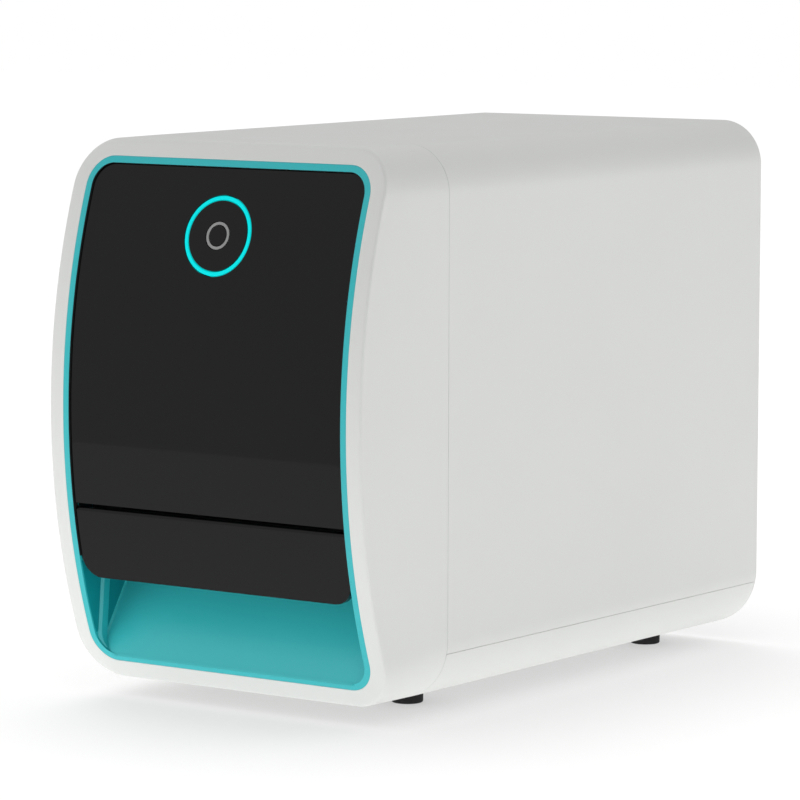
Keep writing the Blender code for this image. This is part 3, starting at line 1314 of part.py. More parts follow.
def make_fan():
    end = panel_front_y - FIT_GAP
    start = end - FAN_WALL
    shape = hole_block(fan_x, fan_z, FAN_SIZE, FAN_SIZE, (start, end), 0)
    cut(shape, shaft_y(fan_x, (start - CUT_EXTRA, end + CUT_EXTRA), fan_z, FAN_BORE_RADIUS, ROUND_SIDES))
    strut_y = (start, start + FAN_STRUT_WALL)
    strut_length = FAN_SIZE / 2 + FAN_BORE_RADIUS
    join(shape, hole_block(fan_x, fan_z, strut_length, FAN_STRUT, strut_y, 0))
    join(shape, shaft_y(fan_x, strut_y, fan_z, FAN_HUB_RADIUS))
    piece("fan_housing", shape, "black_matte", centre=(fan_x, start, fan_z))
    rotor_y = (strut_y[1] + FIT_GAP, end - FAN_TIP_GAP)
    group("fan_rotor", Matrix.Translation((fan_x, rotor_y[0], fan_z)), "housing")
    rotor = shaft_y(fan_x, rotor_y, fan_z, FAN_HUB_RADIUS)
    tip = FAN_BORE_RADIUS - FAN_TIP_GAP
    depth = rotor_y[1] - rotor_y[0] - 2 * FAN_TIP_GAP
    chord = (depth - FAN_BLADE_WALL * math.cos(FAN_PITCH)) / math.sin(FAN_PITCH)
    middle = Matrix.Translation((fan_x, (rotor_y[0] + rotor_y[1]) / 2, fan_z))
    for step in range(FAN_BLADES):
        blade_y = (-FAN_BLADE_WALL / 2, FAN_BLADE_WALL / 2)
        blade = block((FAN_HUB_RADIUS - CUT_EXTRA, tip), blade_y, (-chord / 2, chord / 2))
        around = Matrix.Rotation(2 * math.pi * step / FAN_BLADES, 4, "Y")
        blade.data.transform(middle @ around @ Matrix.Rotation(FAN_PITCH, 4, "X"))
        join(rotor, blade)
    piece("fan_rotor", rotor, "black_matte", "fan_rotor")


group("housing", Matrix.Identity(4))
make_front_bezel()
make_rear_cover()
make_base_tray()
make_feet()
make_teal_liner()
make_upper_fascia()
make_exit_flap()
make_button()
make_button_board()
make_slot_guide()
make_light_shutter()
make_chassis_plate()
make_screws()
make_bracket("front_bracket", front_bracket_y, BUSH_RADIUS + FIT_GAP, window=True)
make_bracket("rear_bracket", rear_bracket_y, SCREW_RADIUS + 2 * FIT_GAP, window=False)
make_side_plates()
make_rods()
make_lead_screw()
make_stepper_motor()
make_carriage()
make_plate_tray()
make_optics_deck()
make_optics_cover()
make_optics()
make_light_collector()
make_main_board()
make_power_board()
make_rear_panel()
make_sockets()
make_power_switch()
make_fan()
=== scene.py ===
import math

import bmesh
import bpy
from mathutils import Matrix, Vector


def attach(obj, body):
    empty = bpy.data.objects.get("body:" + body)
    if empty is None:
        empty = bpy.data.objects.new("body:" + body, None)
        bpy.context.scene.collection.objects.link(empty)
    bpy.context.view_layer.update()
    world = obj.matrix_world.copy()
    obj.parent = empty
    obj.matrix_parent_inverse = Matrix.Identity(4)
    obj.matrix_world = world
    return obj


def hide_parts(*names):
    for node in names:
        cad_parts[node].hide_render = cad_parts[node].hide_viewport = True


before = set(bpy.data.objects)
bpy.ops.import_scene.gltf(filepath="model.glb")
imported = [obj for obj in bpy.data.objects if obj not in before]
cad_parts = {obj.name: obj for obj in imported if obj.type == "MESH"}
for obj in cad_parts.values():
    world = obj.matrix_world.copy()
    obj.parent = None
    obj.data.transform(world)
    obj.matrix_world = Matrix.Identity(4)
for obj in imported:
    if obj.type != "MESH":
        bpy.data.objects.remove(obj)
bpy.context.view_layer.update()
mm = 0.001
spare = 1 * mm  # how far a cutting shape stands out
hair = 0.01 * mm  # keeps two faces out of one plane

# Body sizes that several pieces share. X is to the right, Y to the back, Z up.
body = {
    "half": 73 * mm,
    "low": 7.1 * mm,
    "high": 205 * mm,
    "fall": 1.5 * mm,  # how far the top comes down from the back edge to the front seam
    "corner": 17 * mm,
    "baseCorner": 22 * mm,
    "rear": 130 * mm,
    "wall": 2.6 * mm,
    "seam": -83 * mm,
    "gap": 0.18 * mm,
    "split": 24.55 * mm,
    "splitGap": 0.08 * mm,
    "arcRadius": 244 * mm,
    "arcY": 114 * mm,
    "arcZ": 106 * mm,
}


def arcFront(z, depth=0.0):
    # Y of the bulging front at a level, or of a surface that lies deeper
    return body["arcY"] - math.sqrt((body["arcRadius"] - depth) ** 2 - (z - body["arcZ"]) ** 2)


def between(low, high, steps):
    return [low + (high - low) * step / steps for step in range(steps + 1)]


def mix(near, far, share):
    return tuple(a + (b - a) * share for a, b in zip(near, far))


def inMm(pairs):
    return [(a * mm, b * mm) for a, b in pairs]


def mirrored(points):
    # the right half of an outline and the left one, which runs back
    return points + [(-x, other) for x, other in reversed(points)]


def bend(x, y, radius, start, end, steps):
    # points on an arc round a centre, between two angles in degrees
    angles = between(math.radians(start), math.radians(end), steps)
    return [(x + radius * math.cos(angle), y + radius * math.sin(angle)) for angle in angles]


def roundRect(half, low, high, lowRadius, highRadius, across=1, up=1, corner=14):
    # (x, z) points round a rectangle with rounded corners, from the bottom right one
    lowX, lowZ = half - lowRadius, low + lowRadius
    highX, highZ = half - highRadius, high - highRadius
    bends = [bend(lowX, lowZ, lowRadius, -90, 0, corner), bend(highX, highZ, highRadius, 0, 90, corner)]
    bends += [bend(-highX, highZ, highRadius, 90, 180, corner), bend(-lowX, lowZ, lowRadius, 180, 270, corner)]
    points = []
    for here, ahead, straight in zip(bends, bends[1:] + bends[:1], (up, across, up, across)):
        points += here + [mix(here[-1], ahead[0], step / straight) for step in range(1, straight)]
    return points


def topAt(y):
    return body["high"] - body["fall"] * (body["rear"] - y) / (body["rear"] - body["seam"])


def bodyOutline(inset, y=None, **steps):
    lowRadius = body["baseCorner"] - inset
    highRadius = body["corner"] - inset
    high = body["high"] if y is None else topAt(y)
    return roundRect(body["half"] - inset, body["low"] + inset, high - inset, lowRadius, highRadius, **steps)


def onArc(points, depth):
    return [Vector((x, arcFront(z, depth), z)) for x, z in points]


def onPlane(points, y):
    return [Vector((x, y, z)) for x, z in points]


def acrossX(points, half, middle=0.0):
    # one row of (y, z) points at each side of a middle plane
    return [[Vector((middle + x, y, z)) for y, z in points] for x in (-half, half)]


def chainEdges(bm, corners, closed, make=False):
    pairs = zip(corners, corners[1:] + corners[:1] if closed else corners[1:])
    return [bm.edges.new(pair) if make else bm.edges.get(pair) for pair in pairs]


def growChain(bm, corners, edges, points, closed):
    # draws the chain of edges out to new places
    grown = bmesh.ops.extrude_edge_only(bm, edges=edges)["geom"]
    fresh = {item for item in grown if isinstance(item, bmesh.types.BMVert)}
    moved = []
    for corner, point in zip(corners, points):
        copy = next(edge.other_vert(corner) for edge in corner.link_edges if edge.other_vert(corner) in fresh)
        copy.co = point
        moved.append(copy)
    return moved, chainEdges(bm, moved, closed)


def loft(bm, rows, closed=True, loop=False, capped=False):
    # rows of equal length, each drawn out of the one before; loop joins the last row to the first
    first = corners = [bm.verts.new(point) for point in rows[0]]
    edges = chainEdges(bm, corners, closed, make=True)
    for row in rows[1:] + (rows[:1] if loop else []):
        corners, edges = growChain(bm, corners, edges, row, closed)
    if loop:
        bmesh.ops.remove_doubles(bm, verts=first + corners, dist=1e-7)
    if capped:
        bm.faces.new(first)
        bm.faces.new(corners)
    return first, corners


def spinRound(bm, profile, centre, axis, steps=64):
    # a profile of (radius, height) pairs from axis to axis, turned round an axis
    turn = Matrix.Translation(centre) @ Vector(axis).to_track_quat("Z", "X").to_matrix().to_4x4()
    points = [bm.verts.new(turn @ Vector((radius, 0, height))) for radius, height in profile]
    edges = [bm.edges.new(pair) for pair in zip(points, points[1:])]
    bmesh.ops.spin(
        bm,
        geom=points + edges,
        axis=Vector(axis),
        cent=Vector(centre),
        angle=2 * math.pi,
        steps=steps,
        use_merge=True,
    )
    bmesh.ops.remove_doubles(bm, verts=bm.verts, dist=1e-7)


def addBox(bm, x, y, z):
    made = bmesh.ops.create_cube(bm, size=1.0)["verts"]
    bmesh.ops.scale(bm, vec=(x[1] - x[0], y[1] - y[0], z[1] - z[0]), verts=made)
    bmesh.ops.translate(bm, vec=((x[0] + x[1]) / 2, (y[0] + y[1]) / 2, (z[0] + z[1]) / 2), verts=made)
    return made


def addRod(bm, start, end, radius, steps=32):
    along = Vector(end) - Vector(start)
    place = Matrix.Translation((Vector(start) + Vector(end)) / 2) @ along.to_track_quat("Z", "X").to_matrix().to_4x4()
    bmesh.ops.create_cone(
        bm,
        cap_ends=True,
        segments=steps,
        radius1=radius,
        radius2=radius,
        depth=along.length,
        matrix=place,
    )


def roundBox(bm, x, z, halfX, halfZ, radius, y, steps=6):
    # a box with rounded corners in X and Z, drawn out along Y
    outline = [(x + px, z + pz) for px, pz in roundRect(halfX, -halfZ, halfZ, radius, radius, corner=steps)]
    loft(bm, [onPlane(outline, level) for level in y], capped=True)


def toObject(bm, name):
    bmesh.ops.recalc_face_normals(bm, faces=bm.faces)
    mesh = bpy.data.meshes.new(name)
    bm.to_mesh(mesh)
    bm.free()
    obj = bpy.data.objects.new(name, mesh)
    bpy.context.scene.collection.objects.link(obj)
    return obj


def lofted(name, rows, **ends):
    bm = bmesh.new()
    loft(bm, rows, **ends)
    return toObject(bm, name)


def carve(obj, bm, operation="DIFFERENCE"):
    # one exact Boolean with everything in bm, kept as plain mesh
    tool = toObject(bm, obj.name + "Tool")
    step = obj.modifiers.new("carve", "BOOLEAN")
    step.object = tool
    step.operation = operation
    step.solver = "EXACT"
    bpy.context.view_layer.update()
    graph = bpy.context.evaluated_depsgraph_get()
    obj.data = bpy.data.meshes.new_from_object(obj.evaluated_get(graph))
    obj.modifiers.clear()
    bpy.data.objects.remove(tool, do_unlink=True)


def finishPiece(obj, finish, nodes=(), bodyName="housing", softEdge=None, sharp=40):
    # smooth shading with small rounded edges or sharp ones, and its place in the frame
    obj.data.name = obj.name
    obj.data.materials.clear()
    obj.data.materials.append(materials[finish])
    obj.data.shade_smooth()
    if softEdge:
        soften = obj.modifiers.new("roundedEdges", "BEVEL")
        soften.width, angle, soften.segments = softEdge
        soften.limit_method = "ANGLE"
        soften.angle_limit = math.radians(angle)
        soften.harden_normals = True
        soften.miter_outer = "MITER_ARC"
    else:
        obj.data.set_sharp_from_angle(angle=math.radians(sharp))
    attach(obj, bodyName)
    if nodes:
        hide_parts(*nodes)
    print("piece", obj.name, len(obj.data.polygons), "faces")


# Finishes: speck is how much the colour varies, grain and bump are the size and height of the texture
tealGrain = {"speck": 0.02, "grain": 2600, "bump": 0.04, "smudge": 0.03}
finishes = {
    "white_shell": {"colour": (0.80, 0.81, 0.79), "rough": 0.42, "speck": 0.012, "grain": 5200, "bump": 0.10},
    "teal_plastic": {"colour": (0.022, 0.56, 0.60), "rough": 0.3, "shine": 1.0, **tealGrain},
    # two copies of the teal: one lightened with a painted sheen for the ramp, one darkened as painted shade for the
    # pocket walls
    "teal_painted_sheen": {"colour": (0.05, 0.70, 0.74), "rough": 0.32, "shine": 1.2, **tealGrain},
    "teal_painted_shade": {"colour": (0.004, 0.33, 0.37), "rough": 0.35, "shine": 0.3, **tealGrain},
    "black_gloss": {"colour": (0.0035, 0.0035, 0.0035), "rough": 0.05, "speck": 0.1, "grain": 2500, "bump": 0.01},
    "black_matte": {"colour": (0.018, 0.018, 0.019), "rough": 0.55, "speck": 0.15, "grain": 4200, "bump": 0.25},
    "rubber": {"colour": (0.007, 0.007, 0.0075), "rough": 0.8, "speck": 0.25, "grain": 3000, "bump": 0.4},
    "white_nylon": {"colour": (0.74, 0.73, 0.68), "rough": 0.5, "speck": 0.03, "grain": 2200, "bump": 0.15},
    "circuit_green": {"colour": (0.02, 0.16, 0.06), "rough": 0.4, "speck": 0.2, "grain": 900, "bump": 0.4},
    "led_white": {"colour": (0.85, 0.85, 0.80), "rough": 0.25, "speck": 0.03, "grain": 2500, "bump": 0.05},
    "lens_glass": {"colour": (0.80, 0.88, 0.9), "rough": 0.04, "speck": 0.02, "grain": 900, "bump": 0, "clear": 0.85},
    "mirror": {"colour": (0.88, 0.89, 0.9), "rough": 0.03, "speck": 0.01, "grain": 1200, "bump": 0, "metal": 1},
    "grey_inlay": {"colour": (0.50, 0.51, 0.50), "rough": 0.3, "speck": 0.06, "grain": 6000, "bump": 0.1, "metal": 0.6},
    "zinc_screw": {"colour": (0.52, 0.52, 0.54), "rough": 0.34, "speck": 0.12, "grain": 4200, "bump": 0.15, "metal": 1},
    "grey_casting": {"colour": (0.40, 0.41, 0.43), "rough": 0.55, "speck": 0.14, "grain": 1800, "bump": 0.5,
                     "metal": 0.85},
    "sheet_steel": {"colour": (0.56, 0.57, 0.58), "rough": 0.38, "speck": 0.08, "grain": 2600, "bump": 0.12,
                    "metal": 1, "brush": (1, 18, 1)},
    "ground_steel": {"colour": (0.62, 0.62, 0.63), "rough": 0.2, "speck": 0.05, "grain": 5000, "bump": 0.08,
                     "metal": 1, "brush": (12, 1, 12)},
    "brass": {"colour": (0.72, 0.52, 0.22), "rough": 0.28, "speck": 0.1, "grain": 4000, "bump": 0.1,
              "metal": 1, "brush": (1, 10, 1)},
    "cyan_light": {"colour": (0.0, 0.55, 0.58), "rough": 0.25, "speck": 0.04, "grain": 3500, "bump": 0.03,
                   "shine": 0.15, "glow": 0.38, "glowColour": (0.0, 1.0, 1.0)},
}
surface = {
    "patches": 14.0,
    "patchRange": (0.35, 0.65),
    "smudges": 55.0,
    "smudgeRange": (0.3, 0.7),
    "grainHeight": 0.02 * mm,
}


def noiseOf(tree, coordinates, scale, detail, roughness=0.55):
    node = tree.nodes.new("ShaderNodeTexNoise")
    node.inputs["Scale"].default_value = scale
    node.inputs["Detail"].default_value = detail
    node.inputs["Roughness"].default_value = roughness
    tree.links.new(coordinates, node.inputs["Vector"])
    return node.outputs["Fac"]


def rangeOf(tree, value, low, high, start=0.0, end=1.0):
    # carries a value from one range to another; low and high are numbers or sockets
    node = tree.nodes.new("ShaderNodeMapRange")
    node.inputs["From Min"].default_value = start
    node.inputs["From Max"].default_value = end
    for key, goal in (("To Min", low), ("To Max", high)):
        if isinstance(goal, bpy.types.NodeSocket):
            tree.links.new(goal, node.inputs[key])
        else:
            node.inputs[key].default_value = goal
    tree.links.new(value, node.inputs["Value"])
    return node.outputs["Result"]


def halfPlus(tree, value, other=None):
    # half of one value, and the other one added
    node = tree.nodes.new("ShaderNodeMath")
    node.operation = "MULTIPLY_ADD" if other else "MULTIPLY"
    node.inputs[1].default_value = 0.5
    tree.links.new(value, node.inputs[0])
    if other:
        tree.links.new(other, node.inputs[2])
    return node.outputs[0]


def makeFinish(name, values):
    # colour, roughness and grain that vary a little over the surface, at real scale
    material = bpy.data.materials.new(name)
    material.use_nodes = True
    tree = material.node_tree
    shader = tree.nodes["Principled BSDF"]
    place = grainPlace = tree.nodes.new("ShaderNodeTexCoord").outputs["Object"]
    if "brush" in values:
        stretch = tree.nodes.new("ShaderNodeMapping")
        stretch.inputs["Scale"].default_value = values["brush"]
        tree.links.new(place, stretch.inputs["Vector"])
        grainPlace = stretch.outputs["Vector"]
    patches = noiseOf(tree, place, surface["patches"], 4.0)
    grain = noiseOf(tree, grainPlace, values["grain"], 2.0)
    shade = tree.nodes.new("ShaderNodeMix")
    shade.data_type = "RGBA"
    for key, level in (("A", 1 - values["speck"]), ("B", 1 + values["speck"])):
        shade.inputs[key].default_value = (*[min(1, part * level) for part in values["colour"]], 1)
    blend = halfPlus(tree, patches, halfPlus(tree, grain))
    tree.links.new(rangeOf(tree, blend, 0.0, 1.0, *surface["patchRange"]), shade.inputs["Factor"])
    tree.links.new(shade.outputs["Result"], shader.inputs["Base Color"])
    rough = values["rough"]
    vary = values.get("smudge", 0.1)
    smudges = noiseOf(tree, place, surface["smudges"], 5.0, 0.6)
    roughness = rangeOf(tree, smudges, rough * (1 - vary), min(1, rough * (1 + vary)), *surface["smudgeRange"])
    tree.links.new(roughness, shader.inputs["Roughness"])
    if values["bump"]:
        bump = tree.nodes.new("ShaderNodeBump")
        bump.inputs["Strength"].default_value = values["bump"]
        bump.inputs["Distance"].default_value = surface["grainHeight"]
        tree.links.new(grain, bump.inputs["Height"])
        tree.links.new(bump.outputs["Normal"], shader.inputs["Normal"])
    shader.inputs["Metallic"].default_value = values.get("metal", 0.0)
    shader.inputs["Specular IOR Level"].default_value = values.get("shine", 0.5)
    shader.inputs["Transmission Weight"].default_value = values.get("clear", 0.0)
    if "glow" in values:
        shader.inputs["Emission Color"].default_value = (*values["glowColour"], 1)
        shader.inputs["Emission Strength"].default_value = values["glow"]
    return material


materials = {name: makeFinish(name, values) for name, values in finishes.items()}
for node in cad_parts.values():
    worn = node.data.materials[0].name.split(".")[0]
    node.data.materials[0] = materials.get(worn, materials["black_matte"])
print("materials", len(materials))

# Front bezel. Its face keeps one border round the teal ring, and the sides widen from there to the seam.
# softEdge gives each piece its rounded edges: their width, the angle they start at, and their steps.
bezel = {
    "border": 6.3 * mm,
    "edge": 1.0 * mm,
    "edgeSteps": 8,
    "face": 3 * mm,
    "hole": 0.04 * mm,
    "innerStep": -88.6 * mm,
    "softEdge": (0.1 * mm, 50, 2),
}
liner = {
    "half": 62.8 * mm,
    "low": 13.9 * mm,
    "high": 197.2 * mm,
    "corner": 10.5 * mm,
    "wall": 2.4 * mm,
    "backStep": 3.3 * mm,
    "innerStep": 6 * mm,
    "back": -94 * mm,
    "stopX": (58.45 * mm, 60.9 * mm),
    "stopY": (-120.5 * mm, -116.6 * mm),
    "stopZ": (53.35 * mm, 57.25 * mm),
    "softEdge": (0.12 * mm, 50, 3),
}
fine = {"across": 24, "up": 64, "corner": 20}


def linerOutline(growth):
    radius = liner["corner"] + growth
    return roundRect(liner["half"] + growth, liner["low"] - growth, liner["high"] + growth, radius, radius, **fine)


seamPlane = body["seam"] - body["gap"] / 2
seamRow = onPlane(bodyOutline(0, body["seam"], **fine), seamPlane)
seamInner = bodyOutline(body["wall"], body["seam"], **fine)
frontEdge = bend(bezel["border"] - bezel["edge"], bezel["edge"], bezel["edge"], 0, -90, bezel["edgeSteps"])
faceRows = [onArc(linerOutline(growth), depth) for growth, depth in frontEdge]
rows = [[a.lerp(b, share) for a, b in zip(seamRow, faceRows[0])] for share in (0, 0.25, 0.5, 0.75)] + faceRows
faceOuter = linerOutline(bezel["border"] - bezel["edge"])
faceInner = linerOutline(bezel["hole"])
for share in (0.33, 0.66, 1):
    rows.append(onArc([mix(a, b, share) for a, b in zip(faceOuter, faceInner)], 0))
rows += [onArc(faceInner, bezel["face"]), onArc(linerOutline(bezel["border"] - body["wall"]), bezel["face"])]
rows += [onPlane(seamInner, bezel["innerStep"]), onPlane(seamInner, seamPlane)]
finishPiece(lofted("frontBezel", rows, loop=True), "white_shell", ["front_bezel"], softEdge=bezel["softEdge"])

# White cover and base: one shell with a tongue under the bezel, cut along the side seam
shell = {
    "rearRound": 1.5 * mm,
    "roundSteps": 8,
    "tongueFront": -88 * mm,
    "tongueRear": -76 * mm,
    "tongueOuter": 2.9 * mm,
    "tongueInner": 4.3 * mm,
    "tongueSlope": 1.4 * mm,
    "softEdge": (0.15 * mm, 50, 2),
}


def shellSection():
    # (inset, y) points round the wall, from the front seam to the rear edge and back inside
    start = body["seam"] + body["gap"] / 2
    reach = shell["rearRound"]
    points = [(0, start)] + bend(reach, body["rear"] - reach, reach, 180, 90, shell["roundSteps"])
    points += [(body["wall"], body["rear"]), (body["wall"], shell["tongueRear"] + shell["tongueSlope"])]
    points += [(shell["tongueInner"], shell["tongueRear"]), (shell["tongueInner"], shell["tongueFront"])]
    return points + [(shell["tongueOuter"], shell["tongueFront"]), (shell["tongueOuter"], start)]


def shellPath(inset, y, upper):
    # (x, z) points from the right side seam to the left one, over the top or under the bottom
    radius = body["baseCorner"] - inset
    turnX = body["half"] - body["baseCorner"]
    turnZ = body["low"] + body["baseCorner"]
    level = body["split"] + (0.5 if upper else -0.5) * body["splitGap"]
    start = math.degrees(math.asin((level - turnZ) / radius))
    if not upper:
        return mirrored(bend(turnX, turnZ, radius, start, -90, 24))
    highZ = topAt(max(y, body["seam"])) - body["corner"]
    top = bend(body["half"] - body["corner"], highZ, body["corner"] - inset, 0, 90, 24)
    return mirrored(bend(turnX, turnZ, radius, start, 0, 6) + top)


def makeShell(name, upper):
    paths = [(y, shellPath(inset, y, upper)) for inset, y in shellSection()]
    rows = [[Vector((path[k][0], y, path[k][1])) for y, path in paths] for k in range(len(paths[0][1]))]
    return lofted(name, rows, capped=True)


finishPiece(makeShell("rearCover", True), "white_shell", ["rear_cover"], softEdge=shell["softEdge"])
base = makeShell("baseTray", False)
vents = {
    "count": 6,
    "pitch": 5.2 * mm,
    "width": 34 * mm,
    "height": 2.4 * mm,
    "corner": 1.19 * mm,
    "middle": 23.5 * mm,
    "levels": (6 * mm, 12 * mm),
}
bm = bmesh.new()
for step in range(vents["count"]):
    middle = vents["middle"] + vents["pitch"] * (step - (vents["count"] - 1) / 2)
    edges = (middle - vents["height"] / 2, middle + vents["height"] / 2)
    slot = roundRect(vents["width"] / 2, *edges, vents["corner"], vents["corner"], corner=6)
    loft(bm, [[Vector((x, y, z)) for x, y in slot] for z in vents["levels"]], capped=True)
carve(base, bm)
finishPiece(base, "white_shell", ["base_tray"], softEdge=shell["softEdge"])

# Teal ring, with the two stops that the flap rests on
bm = bmesh.new()
outer = linerOutline(0)
inner = linerOutline(-liner["wall"])
rows = [onArc(outer, 0), onArc(outer, liner["backStep"]), onPlane(outer, liner["back"]), onPlane(inner, liner["back"])]
rows += [onArc(inner, liner["innerStep"]), onArc(inner, 0)]
loft(bm, rows, loop=True)
for side in (-1, 1):
    addBox(bm, sorted(side * x for x in liner["stopX"]), liner["stopY"], liner["stopZ"])
finishPiece(toObject(bm, "tealLiner"), "teal_plastic", ["teal_liner"], softEdge=liner["softEdge"])

# Exit pocket: the walls beside the ramp in a teal darkened as painted shade, each with one raised rib, and the ramp
pocket = {
    "angle": 57.5,
    "top": 44 * mm,
    "fillet": 0.8 * mm,
    "filletShare": 0.8,
    "wall": 1.6 * mm,
    "start": 5 * mm,
    "leastArm": 0.2 * mm,
    "levels": 40,
    "levelCrowding": 1.3,
    "under": 0.6 * mm,
    "inset": 0.12 * mm,
    "clearance": 0.28 * mm,
    "wallFront": 0.7 * mm,
    "wallLow": 24 * mm,
    "wallTop": 51 * mm,
}
rib = {
    "front": -112.4 * mm,
    "rear": -107.0 * mm,
    "low": 18.2 * mm,
    "topGap": 0.3 * mm,
    "height": 0.9 * mm,
    "rise": 0.32 * mm,
    "seat": 0.2 * mm,
    "lean": 0.09,
    "behindFace": 1 * mm,
    "intoRamp": 0.5 * mm,
    "frontSlope": (0.8 * mm, 1.2 * mm),
    "rearSlope": (1.1 * mm, 0.7 * mm),
    "shoulder": 0.25 * mm,
}
pocketFloor = liner["low"] + liner["wall"]


def pocketHalf(z):
    # half width of the liner's inside at a level
    radius = liner["corner"] - liner["wall"]
    rise = max(pocketFloor + radius - z, 0)
    return liner["half"] - liner["wall"] - radius + math.sqrt(max(radius**2 - rise**2, 0))


def rampPlane(z):
    return arcFront(pocketFloor) + (z - pocketFloor) / math.tan(math.radians(pocket["angle"]))


def pocketRing(z):
    # the ramp at one level, with its short side arms, inside and then back along the outside
    armStart = rampPlane(z) - pocket["fillet"] - pocket["clearance"]
    frontY = min(max(arcFront(z) + pocket["start"], armStart), rampPlane(z) - pocket["leastArm"])
    ringPoints = []
    for growth in (0.0, pocket["wall"]):
        half = pocketHalf(max(z, pocketFloor)) - pocket["inset"] + growth
        rampY = rampPlane(z) + growth
        fillet = min(pocket["fillet"], pocket["filletShare"] * (rampPlane(z) - frontY)) + growth
        points = mirrored([(half, frontY)] + bend(half - fillet, rampY - fillet, fillet, 0, 90, 12))
        ringPoints += points if growth == 0.0 else points[::-1]
    return [Vector((x, y, z)) for x, y in ringPoints]


def wallRow(z):
    inner = pocketHalf(z) - pocket["inset"]
    front = arcFront(z) + pocket["wallFront"]
    rear = rampPlane(z) - pocket["fillet"] - pocket["clearance"]
    return [(inner, front), (inner, rear), (inner + pocket["wall"], rear), (inner + pocket["wall"], front)]


def ribRow(z):
    # a low hump that leans back with the front and fades out where the ramp meets it
    lean = rib["lean"] * (pocket["top"] - z)
    start = max(rib["front"] - lean, arcFront(z) + rib["behindFace"])
    end = min(rib["rear"] - lean, rampPlane(z) + rib["intoRamp"])
    part = (end - start) / (rib["rear"] - rib["front"])
    foot = pocketHalf(z) + rib["seat"]
    top = foot - rib["rise"] - rib["height"] * min(1, part)
    shoulder = top + rib["shoulder"] * part
    row = [(foot, start), (shoulder, start + rib["frontSlope"][0] * part), (top, start + rib["frontSlope"][1] * part)]
    return row + [(top, end - rib["rearSlope"][0] * part), (shoulder, end - rib["rearSlope"][1] * part), (foot, end)]


def onBothSides(name, rowAt, levels):
    bm = bmesh.new()
    for side in (-1, 1):
        loft(bm, [[Vector((side * x, y, z)) for x, y in rowAt(z)] for z in levels], capped=True)
    return toObject(bm, name)


# the walls wear the teal darkened as painted shade, the ribs the plain teal
walls = onBothSides("pocketWalls", wallRow, between(pocket["wallLow"], pocket["wallTop"], 12))
finishPiece(walls, "teal_painted_shade")
ribs = onBothSides("pocketRibs", ribRow, between(rib["low"], pocket["top"] - rib["topGap"], 12))
finishPiece(ribs, "teal_plastic", sharp=20)
# the ramp, in a teal lightened with a painted sheen
lowest = pocketFloor - pocket["under"]
shares = [share ** pocket["levelCrowding"] for share in between(0, 1, pocket["levels"])]
rows = [pocketRing(lowest + (pocket["top"] - lowest) * share) for share in shares]
finishPiece(lofted("pocketRamp", rows, capped=True), "teal_painted_sheen")

# Black fascia, with the round opening for the light ring
fascia = {
    "half": 60 * mm,
    "low": 72.7 * mm,
    "high": 194.4 * mm,
    "corner": 7.7 * mm,
    "lowCorner": 0.02 * mm,
    "recess": 0.8 * mm,
    "back": 3.3 * mm,
    "rings": 30,
    "ringCrowding": 1.4,
    "steps": {"across": 56, "up": 72, "corner": 10},
    "softEdge": (0.35 * mm, 50, 3),
}
ring = {
    "level": 171.3 * mm,
    "hole": 14.7 * mm,
    "outer": 14.4 * mm,
    "inner": 13.0 * mm,
    "length": 8.6 * mm,
    "collar": 2 * mm,
    "collarEnd": 10.2 * mm,
    "softEdge": (0.25 * mm, 50, 3),
}
tilt = math.asin((ring["level"] - body["arcZ"]) / body["arcRadius"])
outward = Vector((0, -math.cos(tilt), math.sin(tilt)))
ringCentre = Vector((0, body["arcY"], body["arcZ"])) + outward * (body["arcRadius"] - fascia["recess"])
ringFrame = Matrix.Translation(ringCentre) @ Matrix.Rotation(math.pi / 2 - tilt, 4, "X")


def ringCircle(radius, depth, bulging=True, angles=None):
    # a circle round the button's axis, on the bulging front or on a flat plane behind it
    curve = body["arcRadius"] - fascia["recess"]
    row = []
    for angle in angles or between(0, 2 * math.pi, 128)[:-1]:
        up = radius * math.sin(angle)
        drop = math.sqrt(curve**2 - up**2) - curve if bulging else 0.0
        row.append(ringFrame @ Vector((radius * math.cos(angle), up, drop - depth)))
    return row


corners = (fascia["lowCorner"], fascia["corner"])
fasciaEdge = roundRect(fascia["half"], fascia["low"], fascia["high"], *corners, **fascia["steps"])
holeAngles = [math.atan2(z - ringCentre.z, x) for x, z in fasciaEdge]
holeEdge = ringCircle(ring["hole"], 0, angles=holeAngles)
collarEdge = ringCircle(ring["hole"] + ring["collar"], 0, angles=holeAngles)


def spread(shares, depth, nearPoints):
    # rows between the round opening and the fascia's outline
    pairs = [((near.x, near.z), far) for near, far in zip(nearPoints, fasciaEdge)]
    return [onArc([mix(near, far, share) for near, far in pairs], depth) for share in shares]


shares = [share ** fascia["ringCrowding"] for share in between(0, 1, fascia["rings"])][1:]
rows = spread(reversed(shares), fascia["recess"], holeEdge) + [holeEdge]
for radius in (ring["hole"], ring["hole"] + ring["collar"]):
    rows.append(ringCircle(radius, ring["collarEnd"], False, holeAngles))
rows += spread([0.002] + shares[3::3] + [1.0], fascia["back"], collarEdge)
finishPiece(lofted("upperFascia", rows, loop=True), "black_gloss", ["upper_fascia"], softEdge=fascia["softEdge"])

# Thin black strip on the inside of the teal ring, along the fascia and the flap: painted shade in the gap there
gapShade = {
    "inset": 2.42 * mm,
    "thick": 0.16 * mm,
    "front": 0.12 * mm,
    "back": 2.5 * mm,
    "low": 53 * mm,
    "endZ": (68.3 * mm, 76 * mm),
    "endY": (-124.6 * mm, -117.3 * mm),
}


def gapShadePath(inset):
    # right side upwards, over the top and down the left side
    radius = liner["corner"] - inset
    half = liner["half"] - inset
    high = liner["high"] - inset
    right = [(half, z) for z in between(gapShade["low"], high - radius, 56)[:-1]]
    return mirrored(right + bend(half - radius, high - radius, radius, 0, 90, 14))


